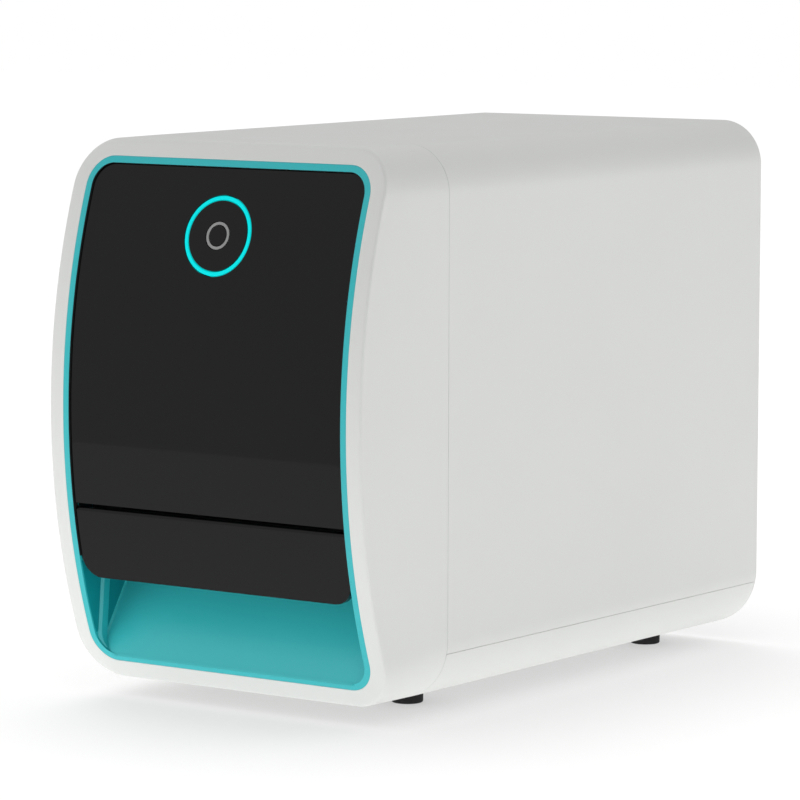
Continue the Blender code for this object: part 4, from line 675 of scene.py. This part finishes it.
bm = bmesh.new()
rows = []
for outer, inner in zip(gapShadePath(gapShade["inset"]), gapShadePath(gapShade["inset"] + gapShade["thick"])):
    corners = ((outer, gapShade["front"]), (outer, gapShade["back"]), (inner, gapShade["back"]), (inner, gapShade["front"]))
    rows.append([Vector((x, arcFront(z, depth), z)) for (x, z), depth in corners])
loft(bm, rows, capped=True)
for side in (-1, 1):
    ends = sorted(side * (liner["half"] - gapShade["inset"] - thick) for thick in (0.0, gapShade["thick"]))
    addBox(bm, ends, gapShade["endY"], gapShade["endZ"])
finishPiece(toObject(bm, "fasciaGapShade"), "black_matte")

# Exit flap: the same bulge as the fascia, rounded lower corners, a round nose on top, and its pins
flap = {
    "half": 60 * mm,
    "low": 45.3 * mm,
    "high": 71.3 * mm,
    "corner": 8 * mm,
    "cornerRows": 10,
    "rows": 26,
    "columns": 40,
    "nose": 1.25 * mm,
    "noseSteps": 10,
    "axisY": -122.44 * mm,
    "axisZ": 66.3 * mm,
    "lug": 2.6 * mm,
    "lugLength": 3 * mm,
    "pin": 1.2 * mm,
    "pinEnd": 62.4 * mm,
    "softEdge": (0.35 * mm, 50, 3),
}
bm = bmesh.new()
noseZ = flap["high"] - flap["nose"]
noseY = arcFront(noseZ, fascia["recess"] + flap["nose"])
corner = flap["corner"]
edge = bend(flap["half"] - corner, flap["low"] + corner, corner, -90, 0, flap["cornerRows"])
edge += [(flap["half"], z) for z in between(edge[-1][1], noseZ, flap["rows"])[1:]]
outline = [(half, arcFront(z, fascia["recess"]), z) for half, z in edge]
outline += [(flap["half"], y, z) for y, z in bend(noseY, noseZ, flap["nose"], 180, 0, flap["noseSteps"])[1:-1]]
outline += [(half, arcFront(z, fascia["back"]), z) for half, z in reversed(edge)]
rows = [[Vector((half * share, y, z)) for half, y, z in outline] for share in between(-1, 1, flap["columns"])]
for end in loft(bm, rows):
    # each end is closed with one strip, from the front to the back, and the nose
    for k in range(len(edge) - 1):
        bm.faces.new((end[k], end[k + 1], end[-2 - k], end[-1 - k]))
    bm.faces.new(end[len(edge) - 1 : 1 - len(edge)])
for side in (-1, 1):
    start = (side * (flap["half"] - flap["lugLength"]), flap["axisY"], flap["axisZ"])
    addRod(bm, start, (side * flap["half"], flap["axisY"], flap["axisZ"]), flap["lug"])
    addRod(bm, start, (side * flap["pinEnd"], flap["axisY"], flap["axisZ"]), flap["pin"])
finishPiece(toObject(bm, "exitFlap"), "black_gloss", ["exit_flap"], "exit_flap", softEdge=flap["softEdge"])

# Light ring
rows = [ringCircle(ring["outer"], 0), ringCircle(ring["outer"], ring["length"], False)]
rows += [ringCircle(ring["inner"], ring["length"], False), ringCircle(ring["inner"], 0)]
finishPiece(lofted("lightRing", rows, loop=True), "cyan_light", ["light_ring"], softEdge=ring["softEdge"])

# Start button, with a groove for its grey inlay and a stem behind
button = {
    "radius": 12.7 * mm,
    "thick": 3 * mm,
    "stem": 3 * mm,
    "stemEnd": 5.6 * mm,
    "grooveOuter": 5.2 * mm,
    "grooveInner": 3.7 * mm,
    "grooveDepth": 1.1 * mm,
    "faceRings": 8,
    "middle": 2 * mm,
    "pole": 0.01 * mm,
    "poleMerge": 0.05 * mm,
    "softEdge": (0.25 * mm, 50, 3),
}
bm = bmesh.new()
behind = [(button["pole"], button["stemEnd"]), (button["stem"], button["stemEnd"]), (button["stem"], button["thick"])]
rows = [ringCircle(radius, depth, False) for radius, depth in behind + [(button["radius"], button["thick"])]]
rows += [ringCircle(radius, 0) for radius in between(button["radius"], button["grooveOuter"], button["faceRings"])]
rows += [ringCircle(button[key], button["grooveDepth"], False) for key in ("grooveOuter", "grooveInner")]
rows += [ringCircle(button[key], 0) for key in ("grooveInner", "middle", "pole")]
for pole in loft(bm, rows):
    bmesh.ops.remove_doubles(bm, verts=pole, dist=button["poleMerge"])
startButton = toObject(bm, "startButton")
finishPiece(startButton, "black_gloss", ["start_button"], "start_button", softEdge=button["softEdge"])

inlay = {"outer": 5.0 * mm, "inner": 3.9 * mm, "depth": 0.8 * mm, "softEdge": (0.2 * mm, 50, 3)}
rows = [ringCircle(inlay["outer"], 0.0), ringCircle(inlay["outer"], inlay["depth"])]
rows += [ringCircle(inlay["inner"], inlay["depth"]), ringCircle(inlay["inner"], 0.0)]
buttonInlay = lofted("buttonInlay", rows, loop=True)
finishPiece(buttonInlay, "grey_inlay", ["button_inlay"], "start_button", softEdge=inlay["softEdge"])

# Rubber feet, hollow a little underneath, with a stem into the base
foot = {
    "x": 36.5 * mm,
    "frontY": -56 * mm,
    "rearY": 105.5 * mm,
    "radius": 5.8 * mm,
    "height": 6.8 * mm,
    "edge": 0.7 * mm,
    "recess": 3.2 * mm,
    "recessHigh": 0.7 * mm,
    "chamfer": 0.3 * mm,
    "stem": 2 * mm,
    "stemTop": 11.7 * mm,
}
profile = [(0, foot["recessHigh"]), (foot["recess"], foot["recessHigh"]), (foot["recess"] + foot["chamfer"], 0)]
profile += bend(foot["radius"] - foot["edge"], foot["edge"], foot["edge"], -90, 0, 6)
profile += [(foot["radius"], foot["height"] - foot["chamfer"]), (foot["radius"] - foot["chamfer"], foot["height"])]
profile += [(foot["stem"], foot["height"]), (foot["stem"], foot["stemTop"]), (0, foot["stemTop"])]
for end in ("front", "rear"):
    for side, x in (("left", -foot["x"]), ("right", foot["x"])):
        bm = bmesh.new()
        spinRound(bm, profile, Vector((x, foot[end + "Y"], 0)), (0, 0, 1))
        finishPiece(toObject(bm, "foot" + end.title() + side.title()), "rubber", [f"foot_{end}_{side}"], sharp=35)

# Back panel, with vents, screw holes and openings for the sockets and the switch
panel = {
    "inset": 3 * mm,
    "front": 124 * mm,
    "rear": 126.5 * mm,
    "groove": (8.7 * mm, 9.3 * mm),
    "grooveDepth": 0.35 * mm,
    "fieldX": -38.5 * mm,
    "fieldHalf": (19.5 * mm, 9.5 * mm),
    "fieldCorner": 2.5 * mm,
    "fieldDepth": 0.5 * mm,
    "softEdge": (0.25 * mm, 40, 2),
}
grille = {"count": 6, "pitch": 5.2 * mm, "half": 17 * mm, "halfHigh": 1.2 * mm, "x": 30 * mm, "z": 165 * mm}
screws = {
    "low": (51 * mm, 12.7 * mm),
    "high": (56 * mm, 199.4 * mm),
    "hole": 1.6 * mm,
    "head": 2.8 * mm,
    "headHigh": 1.8 * mm,
    "headRim": 0.2 * mm,
    "seat": 0.3 * mm,
    "reach": 6.5 * mm,
    "shank": 1.3 * mm,
    "tip": 0.6 * mm,
    "tipLength": 0.9 * mm,
    "recess": ((0.75, -0.95 * mm), (1.0, 0.6 * mm)),  # its size at the bottom and above the head
    "recessShape": ((1.5, -0.32), (1.5, 0.32), (0.32, 0.32)),
    "turn": 0.4,
    "softEdge": (0.08 * mm, 30, 2),
}
sockets = {"level": 46 * mm, "fit": 0.3 * mm, "y": (110 * mm, 126.5 * mm), "softEdge": (0.15 * mm, 40, 2)}
jack = {
    "x": -28 * mm,
    "half": 5 * mm,
    "corner": 0.7 * mm,
    "holeCorner": 0.9 * mm,
    # radius and Y in mm
    "post": [(0, 125.5), (0.55, 125.5), (0.9, 125.25), (1, 124.8), (1, 114.5)],
    "mouth": [(3.1, 114.5), (3.1, 125.8), (3.7, 126.5), (3.7, 127.5), (0, 127.5)],
    "pin": [(0, 113), (1.12, 113), (1.12, 125.1), (0.7, 125.62), (0, 125.62)],
}
dataPort = {
    "x": -47 * mm,
    "halfX": 6 * mm,
    "halfZ": 5.5 * mm,
    "corner": 0.4 * mm,
    "holeCorner": 0.6 * mm,
    "mouth": [(4.2, -3.8), (4.2, 2.4), (2.8, 3.8)],  # right half, in mm
    "mouthY": (114.5 * mm, 127.5 * mm),
    "tongue": (2.7 * mm, 1.6 * mm, 0.2 * mm),
    "tongueY": (113.9 * mm, 125.5 * mm),
    "tongueEdge": (0.12 * mm, 40, 2),
    "contactX": (-1.25 * mm, 1.25 * mm),
    "contactY": (114.5 * mm, 124.3 * mm),
    "contactZ": (-1.66 * mm, 1.66 * mm),
    "contactHalf": (0.5 * mm, 0.12 * mm),
    "contactEdge": (0.05 * mm, 40, 2),
}
switch = {"x": -40 * mm, "z": 80 * mm, "halfX": 7.5 * mm, "halfZ": 11 * mm, "holeCorner": 0.8 * mm}

outline = bodyOutline(panel["inset"])
backPanel = lofted("rearPanel", [onPlane(outline, panel[key]) for key in ("front", "rear")], capped=True)
through = (panel["front"] - spare, panel["rear"] + spare)
fit = sockets["fit"]
vent = (grille["half"], grille["halfHigh"], grille["halfHigh"] * 0.98)
bm = bmesh.new()
for side in (-1, 1):
    for step in range(grille["count"]):
        level = grille["z"] + grille["pitch"] * (step - (grille["count"] - 1) / 2)
        roundBox(bm, side * grille["x"], level, *vent, through)
screwPlaces = [(side * x, z) for x, z in (screws["low"], screws["high"]) for side in (-1, 1)]
for x, z in screwPlaces:
    addRod(bm, (x, through[0], z), (x, through[1], z), screws["hole"], 24)
jackHalf = jack["half"] + fit
roundBox(bm, jack["x"], sockets["level"], jackHalf, jackHalf, jack["holeCorner"], through)
portHalf = (dataPort["halfX"] + fit, dataPort["halfZ"] + fit)
roundBox(bm, dataPort["x"], sockets["level"], *portHalf, dataPort["holeCorner"], through)
roundBox(bm, switch["x"], switch["z"], switch["halfX"] + fit, switch["halfZ"] + fit, switch["holeCorner"], through)
carve(backPanel, bm)

# a shallow field round the two sockets, and a thin groove inside the panel's edge
bm = bmesh.new()
fieldY = (panel["rear"] - panel["fieldDepth"], through[1])
roundBox(bm, panel["fieldX"], sockets["level"], *panel["fieldHalf"], panel["fieldCorner"], fieldY)
outer, inner = [bodyOutline(inset) for inset in panel["groove"]]
bottom = panel["rear"] - panel["grooveDepth"]
rows = [onPlane(outer, through[1]), onPlane(outer, bottom), onPlane(inner, bottom), onPlane(inner, through[1])]
loft(bm, rows, loop=True)
carve(backPanel, bm)
finishPiece(backPanel, "black_matte", ["rear_panel"], softEdge=panel["softEdge"])

# Panel screws, each turned a little further than the one before
profile = [(0, -screws["reach"]), (screws["tip"], -screws["reach"])]
profile += [(screws["shank"], screws["tipLength"] - screws["reach"]), (screws["shank"], 0)]
profile += [(screws["head"] - screws["headRim"], 0), (screws["head"], screws["headRim"])]
for angle in range(88, 7, -8):
    rise = screws["headHigh"] / 2 * (1 + math.cos(math.radians(angle)))
    profile.append((screws["head"] * math.sin(math.radians(angle)), rise))
profile.append((0, screws["headHigh"]))
for number, (x, z) in enumerate(screwPlaces, 1):
    bm = bmesh.new()
    seat = Vector((x, panel["rear"] + screws["seat"], z))
    spinRound(bm, profile, seat, (0, 1, 0), 40)
    screw = toObject(bm, "panelScrew" + str(number))
    bm = bmesh.new()
    rows = []
    for size, depth in screws["recess"]:
        row = []
        for quarter in range(4):
            for u, v in screws["recessShape"]:
                angle = math.pi / 2 * quarter + screws["turn"] * number
                across = (u * math.cos(angle) - v * math.sin(angle)) * size * mm
                up = (u * math.sin(angle) + v * math.cos(angle)) * size * mm
                row.append(seat + Vector((across, screws["headHigh"] + depth, up)))
        rows.append(row)
    loft(bm, rows, capped=True)
    carve(screw, bm)
    finishPiece(screw, "zinc_screw", ["panel_screw_" + str(number)], softEdge=screws["softEdge"])

# Power socket, and the pin in it
bm = bmesh.new()
roundBox(bm, jack["x"], sockets["level"], jack["half"], jack["half"], jack["corner"], sockets["y"])
dcJack = toObject(bm, "dcJack")
jackAxis = Vector((jack["x"], 0, sockets["level"]))
bm = bmesh.new()
spinRound(bm, inMm(jack["post"] + jack["mouth"]), jackAxis, (0, 1, 0), 48)
carve(dcJack, bm)
finishPiece(dcJack, "black_matte", ["dc_jack"], softEdge=sockets["softEdge"])
bm = bmesh.new()
spinRound(bm, inMm(jack["pin"]), jackAxis, (0, 1, 0), 32)
finishPiece(toObject(bm, "jackPin"), "ground_steel")

# Data socket: a metal shell with two upper corners cut off, its tongue and four contacts
portX, portZ = dataPort["x"], sockets["level"]
bm = bmesh.new()
roundBox(bm, portX, portZ, dataPort["halfX"], dataPort["halfZ"], dataPort["corner"], sockets["y"])
usbSocket = toObject(bm, "usbSocket")
mouth = [(portX + x, portZ + z) for x, z in mirrored(inMm(dataPort["mouth"]))]
bm = bmesh.new()
loft(bm, [onPlane(mouth, y) for y in dataPort["mouthY"]], capped=True)
carve(usbSocket, bm)
finishPiece(usbSocket, "zinc_screw", ["usb_socket"], softEdge=sockets["softEdge"])
bm = bmesh.new()
roundBox(bm, portX, portZ, *dataPort["tongue"], dataPort["tongueY"], 4)
finishPiece(toObject(bm, "usbTongue"), "white_nylon", softEdge=dataPort["tongueEdge"])
bm = bmesh.new()
halfX, halfZ = dataPort["contactHalf"]
for z in dataPort["contactZ"]:
    for x in dataPort["contactX"]:
        sides = (portX + x - halfX, portX + x + halfX)
        addBox(bm, sides, dataPort["contactY"], (portZ + z - halfZ, portZ + z + halfZ))
finishPiece(toObject(bm, "usbContacts"), "brass", softEdge=dataPort["contactEdge"])

# Switch frame, from the back over the rim and into the well. Each step says in mm how far it lies
# outside the opening in X and Z, its corner radius and its Y.
rim = {
    "steps": [
        (0, 0, 0.6, 110),
        (0, 0, 0.6, 126.8),
        (1.8, 1.8, 1.2, 126.8),
        (1.8, 1.8, 1.2, 127.55),
        (1.35, 1.35, 0.9, 128),
        (-2.7, -2.1, 0.5, 128),
        (-2.7, -2.1, 0.5, 114.5),
    ],
    "softEdge": (0.15 * mm, 35, 2),
}
rows = []
for growX, growZ, radius, y in rim["steps"]:
    halfX, halfZ = switch["halfX"] + growX * mm, switch["halfZ"] + growZ * mm
    points = roundRect(halfX, -halfZ, halfZ, radius * mm, radius * mm, corner=6)
    rows.append([Vector((switch["x"] + x, y * mm, switch["z"] + z)) for x, z in points])
switchFrame = lofted("switchFrame", rows, capped=True)
finishPiece(switchFrame, "black_matte", ["switch_frame"], softEdge=rim["softEdge"])

# Power rocker: two dished faces that meet in the middle, the upper one tilted outwards
rocker = {
    "face": 127.7 * mm,
    "halfX": 4.5 * mm,
    "halfZ": 8 * mm,
    "tilt": 12,
    "dish": 0.28 * mm,
    "sideDepth": 3 * mm,
    "backDepth": 6 * mm,
    "softEdge": (0.45 * mm, 35, 3),
}
face, halfZ = rocker["face"], rocker["halfZ"]
rise = halfZ * math.tan(math.radians(rocker["tilt"]))
outline = [(face - rocker["backDepth"], -halfZ / 3), (face - rocker["sideDepth"], -halfZ)]
for share in between(-1, 1, 16):
    dish = rocker["dish"] * math.sin(math.pi * abs(share))
    outline.append((face + rise * max(share, 0) - dish, halfZ * share))
outline += [(face - rocker["sideDepth"], halfZ), (face - rocker["backDepth"], halfZ / 3)]
rows = acrossX([(y, switch["z"] + z) for y, z in outline], rocker["halfX"], switch["x"])
powerRocker = lofted("powerRocker", rows, capped=True)
finishPiece(powerRocker, "black_gloss", ["power_rocker"], "power_rocker", softEdge=rocker["softEdge"])

# Fan behind the right vents: square housing with a hub on three struts
fan = {
    "x": 30 * mm,
    "z": 165 * mm,
    "half": 20 * mm,
    "corner": 3 * mm,
    "bore": 18.7 * mm,
    "hub": 8 * mm,
    "hubThick": 1.6 * mm,
    "front": 113.7 * mm,
    "rear": 123.7 * mm,
    "screwPlace": 16 * mm,
    "screwHole": 1.7 * mm,
    "struts": 3,
    "strutTurn": 0.5,
    "strutX": (6 * mm, 19.6 * mm),
    "strutHalf": 1.5 * mm,
    "softEdge": (0.2 * mm, 40, 2),
}
fanCentre = Vector((fan["x"], 0, fan["z"]))


def fanRod(bm, x, z, y, radius, steps):
    addRod(bm, fanCentre + Vector((x, y[0], z)), fanCentre + Vector((x, y[1], z)), radius, steps)


bm = bmesh.new()
roundBox(bm, fan["x"], fan["z"], fan["half"], fan["half"], fan["corner"], (fan["front"], fan["rear"]), 8)
fanHousing = toObject(bm, "fanHousing")
bm = bmesh.new()
fanThrough = (fan["front"] - spare, fan["rear"] + spare)
fanRod(bm, 0, 0, fanThrough, fan["bore"], 96)
for x in (-fan["screwPlace"], fan["screwPlace"]):
    for z in (-fan["screwPlace"], fan["screwPlace"]):
        fanRod(bm, x, z, fanThrough, fan["screwHole"], 24)
carve(fanHousing, bm)
bm = bmesh.new()
fanRod(bm, 0, 0, (fan["front"], fan["front"] + fan["hubThick"]), fan["hub"], 64)
carve(fanHousing, bm, "UNION")
strutY = (fan["front"] + hair, fan["front"] + fan["hubThick"] - hair)
for step in range(fan["struts"]):
    bm = bmesh.new()
    strut = addBox(bm, fan["strutX"], strutY, (-fan["strutHalf"], fan["strutHalf"]))
    turn = Matrix.Rotation(2 * math.pi * step / fan["struts"] + fan["strutTurn"], 4, "Y")
    bmesh.ops.transform(bm, matrix=Matrix.Translation(fanCentre) @ turn, verts=strut)
    carve(fanHousing, bm, "UNION")
finishPiece(fanHousing, "black_matte", ["fan_housing"], softEdge=fan["softEdge"])

# Fan rotor: a cup with swept blades, steeper at the hub than at the tip
rotor = {
    "cup": [(0, 115.6), (8, 115.6), (8, 122.1), (7.7, 122.65), (7.1, 122.9), (5, 122.9), (4.8, 122.7), (0, 122.7)],
    "middle": 119.25 * mm,
    "blades": 7,
    "root": 7.3 * mm,
    "tip": 17.9 * mm,
    "wall": 0.9 * mm,
    "depth": 2.9 * mm,
    "hubPitch": 58,
    "tipPitch": 38,
    "sweep": 0.35,
    "sections": 7,
    "section": ((-1, 0), (-0.5, 0.42), (0, 0.55), (0.5, 0.45), (1, 0), (0.5, -0.12), (0, -0.05), (-0.5, -0.15)),
}
bm = bmesh.new()
spinRound(bm, inMm(rotor["cup"]), fanCentre, (0, 1, 0), 64)
for blade in range(rotor["blades"]):
    rows = []
    for share in between(0, 1, rotor["sections"] - 1):
        radius = rotor["root"] + (rotor["tip"] - rotor["root"]) * share
        pitch = math.radians(rotor["hubPitch"] + (rotor["tipPitch"] - rotor["hubPitch"]) * share)
        chord = rotor["depth"] / math.sin(pitch)
        sweep = 2 * math.pi * blade / rotor["blades"] + rotor["sweep"] * share**1.5
        row = []
        for along, off in rotor["section"]:
            y = rotor["middle"] + along * chord * math.sin(pitch) + off * rotor["wall"] * math.cos(pitch)
            angle = sweep + (along * chord * math.cos(pitch) - off * rotor["wall"] * math.sin(pitch)) / radius
            row.append(fanCentre + Vector((radius * math.cos(angle), y, radius * math.sin(angle))))
        rows.append(row)
    loft(bm, rows, capped=True)
finishPiece(toObject(bm, "fanRotor"), "black_matte", ["fan_rotor"], "fan_rotor")

# Slot guide: a block with a funnel through it, and two ears behind that carry the light shutter
guide = {
    "half": 60.1 * mm,
    "front": -117.14 * mm,
    "rear": -104.14 * mm,
    "low": 67.7 * mm,
    "high": 81.7 * mm,
    "channel": 46 * mm,
    "funnelFloor": [(-118.14, 70.1), (-115.54, 71), (-103.14, 71)],  # Y and Z in mm
    "funnelRoof": [(-103.14, 72.7), (-113.14, 73.1), (-115.94, 74.1), (-118.14, 75.6)],
    "ear": (46.3 * mm, 50.3 * mm),
    "earHalf": 3 * mm,
    "earHole": 1.5 * mm,
    "holeHalf": 52 * mm,
    "softEdge": (0.25 * mm, 40, 2),
}
shutter = {"y": -102.54 * mm, "z": 79 * mm, "wall": 0.6 * mm, "low": 70.6 * mm, "barrel": 1.2 * mm, "stub": 2.5 * mm}


def shutterRod(bm, half, radius):
    addRod(bm, (-half, shutter["y"], shutter["z"]), (half, shutter["y"], shutter["z"]), radius)


bm = bmesh.new()
addBox(bm, (-guide["half"], guide["half"]), (guide["front"], guide["rear"]), (guide["low"], guide["high"]))
slotGuide = toObject(bm, "slotGuide")
bm = bmesh.new()
loft(bm, acrossX(inMm(guide["funnelFloor"] + guide["funnelRoof"]), guide["channel"]), capped=True)
carve(slotGuide, bm)
earY = (guide["rear"] - spare, shutter["y"] + guide["earHalf"])
earZ = (shutter["z"] - guide["earHalf"], guide["high"] - hair)
for side in (-1, 1):
    bm = bmesh.new()
    addBox(bm, sorted(side * x for x in guide["ear"]), earY, earZ)
    carve(slotGuide, bm, "UNION")
bm = bmesh.new()
shutterRod(bm, guide["holeHalf"], guide["earHole"])
carve(slotGuide, bm)
finishPiece(slotGuide, "black_matte", ["slot_guide"], softEdge=guide["softEdge"])

# Light shutter: a hanging blade with a round lower edge, on a rod
bm = bmesh.new()
wall = shutter["wall"]
blade = bend(shutter["y"], shutter["low"] + wall, wall, 180, 360, 6)
blade += [(shutter["y"] + wall, shutter["z"]), (shutter["y"] - wall, shutter["z"])]
loft(bm, acrossX(blade, guide["channel"]), capped=True)
shutterRod(bm, guide["channel"] + shutter["stub"], shutter["barrel"])
finishPiece(toObject(bm, "lightShutter"), "black_matte", ["light_shutter"], "light_shutter")

# Floor, light and camera. The floor looks white to the camera and sends a plainer light to the scanner.
studio = {
    "worldLevel": 0.5,
    "mirroredLevel": 0.37,
    "whiteLevel": 1.0,
    "floorSize": (12, 6),
    "floorFront": -0.51,
    "floorRough": 0.9,
    "floorShine": 0.1,
    "floorColour": 0.9,
    "floorSeenColour": 0.34,
    # the colour and glow that the camera sees darken where the scanner occludes the floor: a painted contact shadow
    "shadowPaintColour": 0.245,
    "shadowPaintSpan": (0.05, 0.35),
    "contactReach": 0.12,
    "contactSamples": 12,
    "floorMirrored": 0.46,
    "floorSeenGlow": 0.77,
    "floorShadeShare": 0.44,
    "floorGlow": 0.60,
    "floorNearGlow": 0.58,
}
bm = bmesh.new()
floorSheet = bmesh.ops.create_grid(bm, x_segments=1, y_segments=1, size=0.5)["verts"]
bmesh.ops.scale(bm, vec=(*studio["floorSize"], 1), verts=floorSheet)
bmesh.ops.translate(bm, vec=(0, studio["floorSize"][1] / 2 + studio["floorFront"], 0), verts=floorSheet)
floor = toObject(bm, "floor")
floorPaint = bpy.data.materials.new("floorPaint")
floorPaint.use_nodes = True
tree = floorPaint.node_tree
shader = tree.nodes["Principled BSDF"]
shader.inputs["Roughness"].default_value = studio["floorRough"]
shader.inputs["Specular IOR Level"].default_value = studio["floorShine"]
shader.inputs["Emission Color"].default_value = (1, 1, 1, 1)
rays = tree.nodes.new("ShaderNodeLightPath")
contact = tree.nodes.new("ShaderNodeAmbientOcclusion")
contact.samples = studio["contactSamples"]
contact.inputs["Distance"].default_value = studio["contactReach"]
openness = contact.outputs["AO"]

# painted shadow: the glow fades next to the scanner, much to the camera, a little in the light on its low edges
seenGlow = studio["floorSeenGlow"]
seenShadedGlow = rangeOf(tree, openness, seenGlow * (1 - studio["floorShadeShare"]), seenGlow)
givenNear = rangeOf(tree, openness, studio["floorNearGlow"], studio["floorGlow"])
glow = rangeOf(tree, rays.outputs["Is Camera Ray"], givenNear, seenShadedGlow)
glow = rangeOf(tree, rays.outputs["Is Glossy Ray"], glow, studio["floorMirrored"])
tree.links.new(glow, shader.inputs["Emission Strength"])
# painted contact shadow: to the camera the floor's colour darkens where the scanner occludes it
seenShadowTint = rangeOf(tree, openness, studio["shadowPaintColour"], studio["floorSeenColour"], *studio["shadowPaintSpan"])
tint = rangeOf(tree, rays.outputs["Is Camera Ray"], studio["floorColour"], seenShadowTint)
tint = rangeOf(tree, rays.outputs["Is Glossy Ray"], tint, 0.0)
tree.links.new(tint, shader.inputs["Base Color"])
floor.data.materials.append(floorPaint)

world = bpy.data.worlds.new("studio")
bpy.context.scene.world = world
world.use_nodes = True
tree = world.node_tree
background = tree.nodes["Background"]
background.inputs["Color"].default_value = (1, 1, 1, 1)
rays = tree.nodes.new("ShaderNodeLightPath")
level = rangeOf(tree, rays.outputs["Is Glossy Ray"], studio["worldLevel"], studio["mirroredLevel"])
level = rangeOf(tree, rays.outputs["Is Camera Ray"], level, studio["whiteLevel"])
tree.links.new(level, background.inputs["Strength"])


def aimed(place, target):
    # a place, turned so that a lamp or camera there looks at the target
    turn = (Vector(target) - Vector(place)).to_track_quat("-Z", "Y").to_matrix().to_4x4()
    return Matrix.Translation(place) @ turn


def addLamp(name, kind, power, place):
    lamp = bpy.data.objects.new(name, bpy.data.lights.new(name, kind))
    bpy.context.scene.collection.objects.link(lamp)
    lamp.data.energy = power
    lamp.matrix_world = place
    lamp.visible_glossy = False
    lamp.visible_camera = False
    return lamp.data


sun = {"power": 1.1, "angle": 42, "from": (-0.36, 0.20, 0.89)}
addLamp("sun", "SUN", sun["power"], aimed(sun["from"], (0, 0, 0))).angle = math.radians(sun["angle"])
low = {"power": 0.27, "size": (0.3, 0.09), "place": (-0.31, -0.45, 0.05), "target": (0.0, -0.11, 0.04)}
lowLamp = addLamp("lowLamp", "AREA", low["power"], aimed(low["place"], low["target"]))
lowLamp.shape = "RECTANGLE"
lowLamp.size, lowLamp.size_y = low["size"]

view = {
    "place": (0.9102, -1.2892, 0.2738),
    "target": (0.00407, -0.01546, 0.10426),
    "roll": 0.15,
    "lens": 190.3,
    "sensor": 36,
    "clip": (0.05, 50),
}
camera = bpy.data.objects.new("camera", bpy.data.cameras.new("camera"))
bpy.context.scene.collection.objects.link(camera)
camera.data.lens = view["lens"]
camera.data.sensor_width = view["sensor"]
camera.data.clip_start, camera.data.clip_end = view["clip"]
camera.matrix_world = aimed(view["place"], view["target"]) @ Matrix.Rotation(math.radians(view["roll"]), 4, "Z")
bpy.context.scene.camera = camera
bpy.context.scene.view_settings.view_transform = "Standard"
print("studio ready")
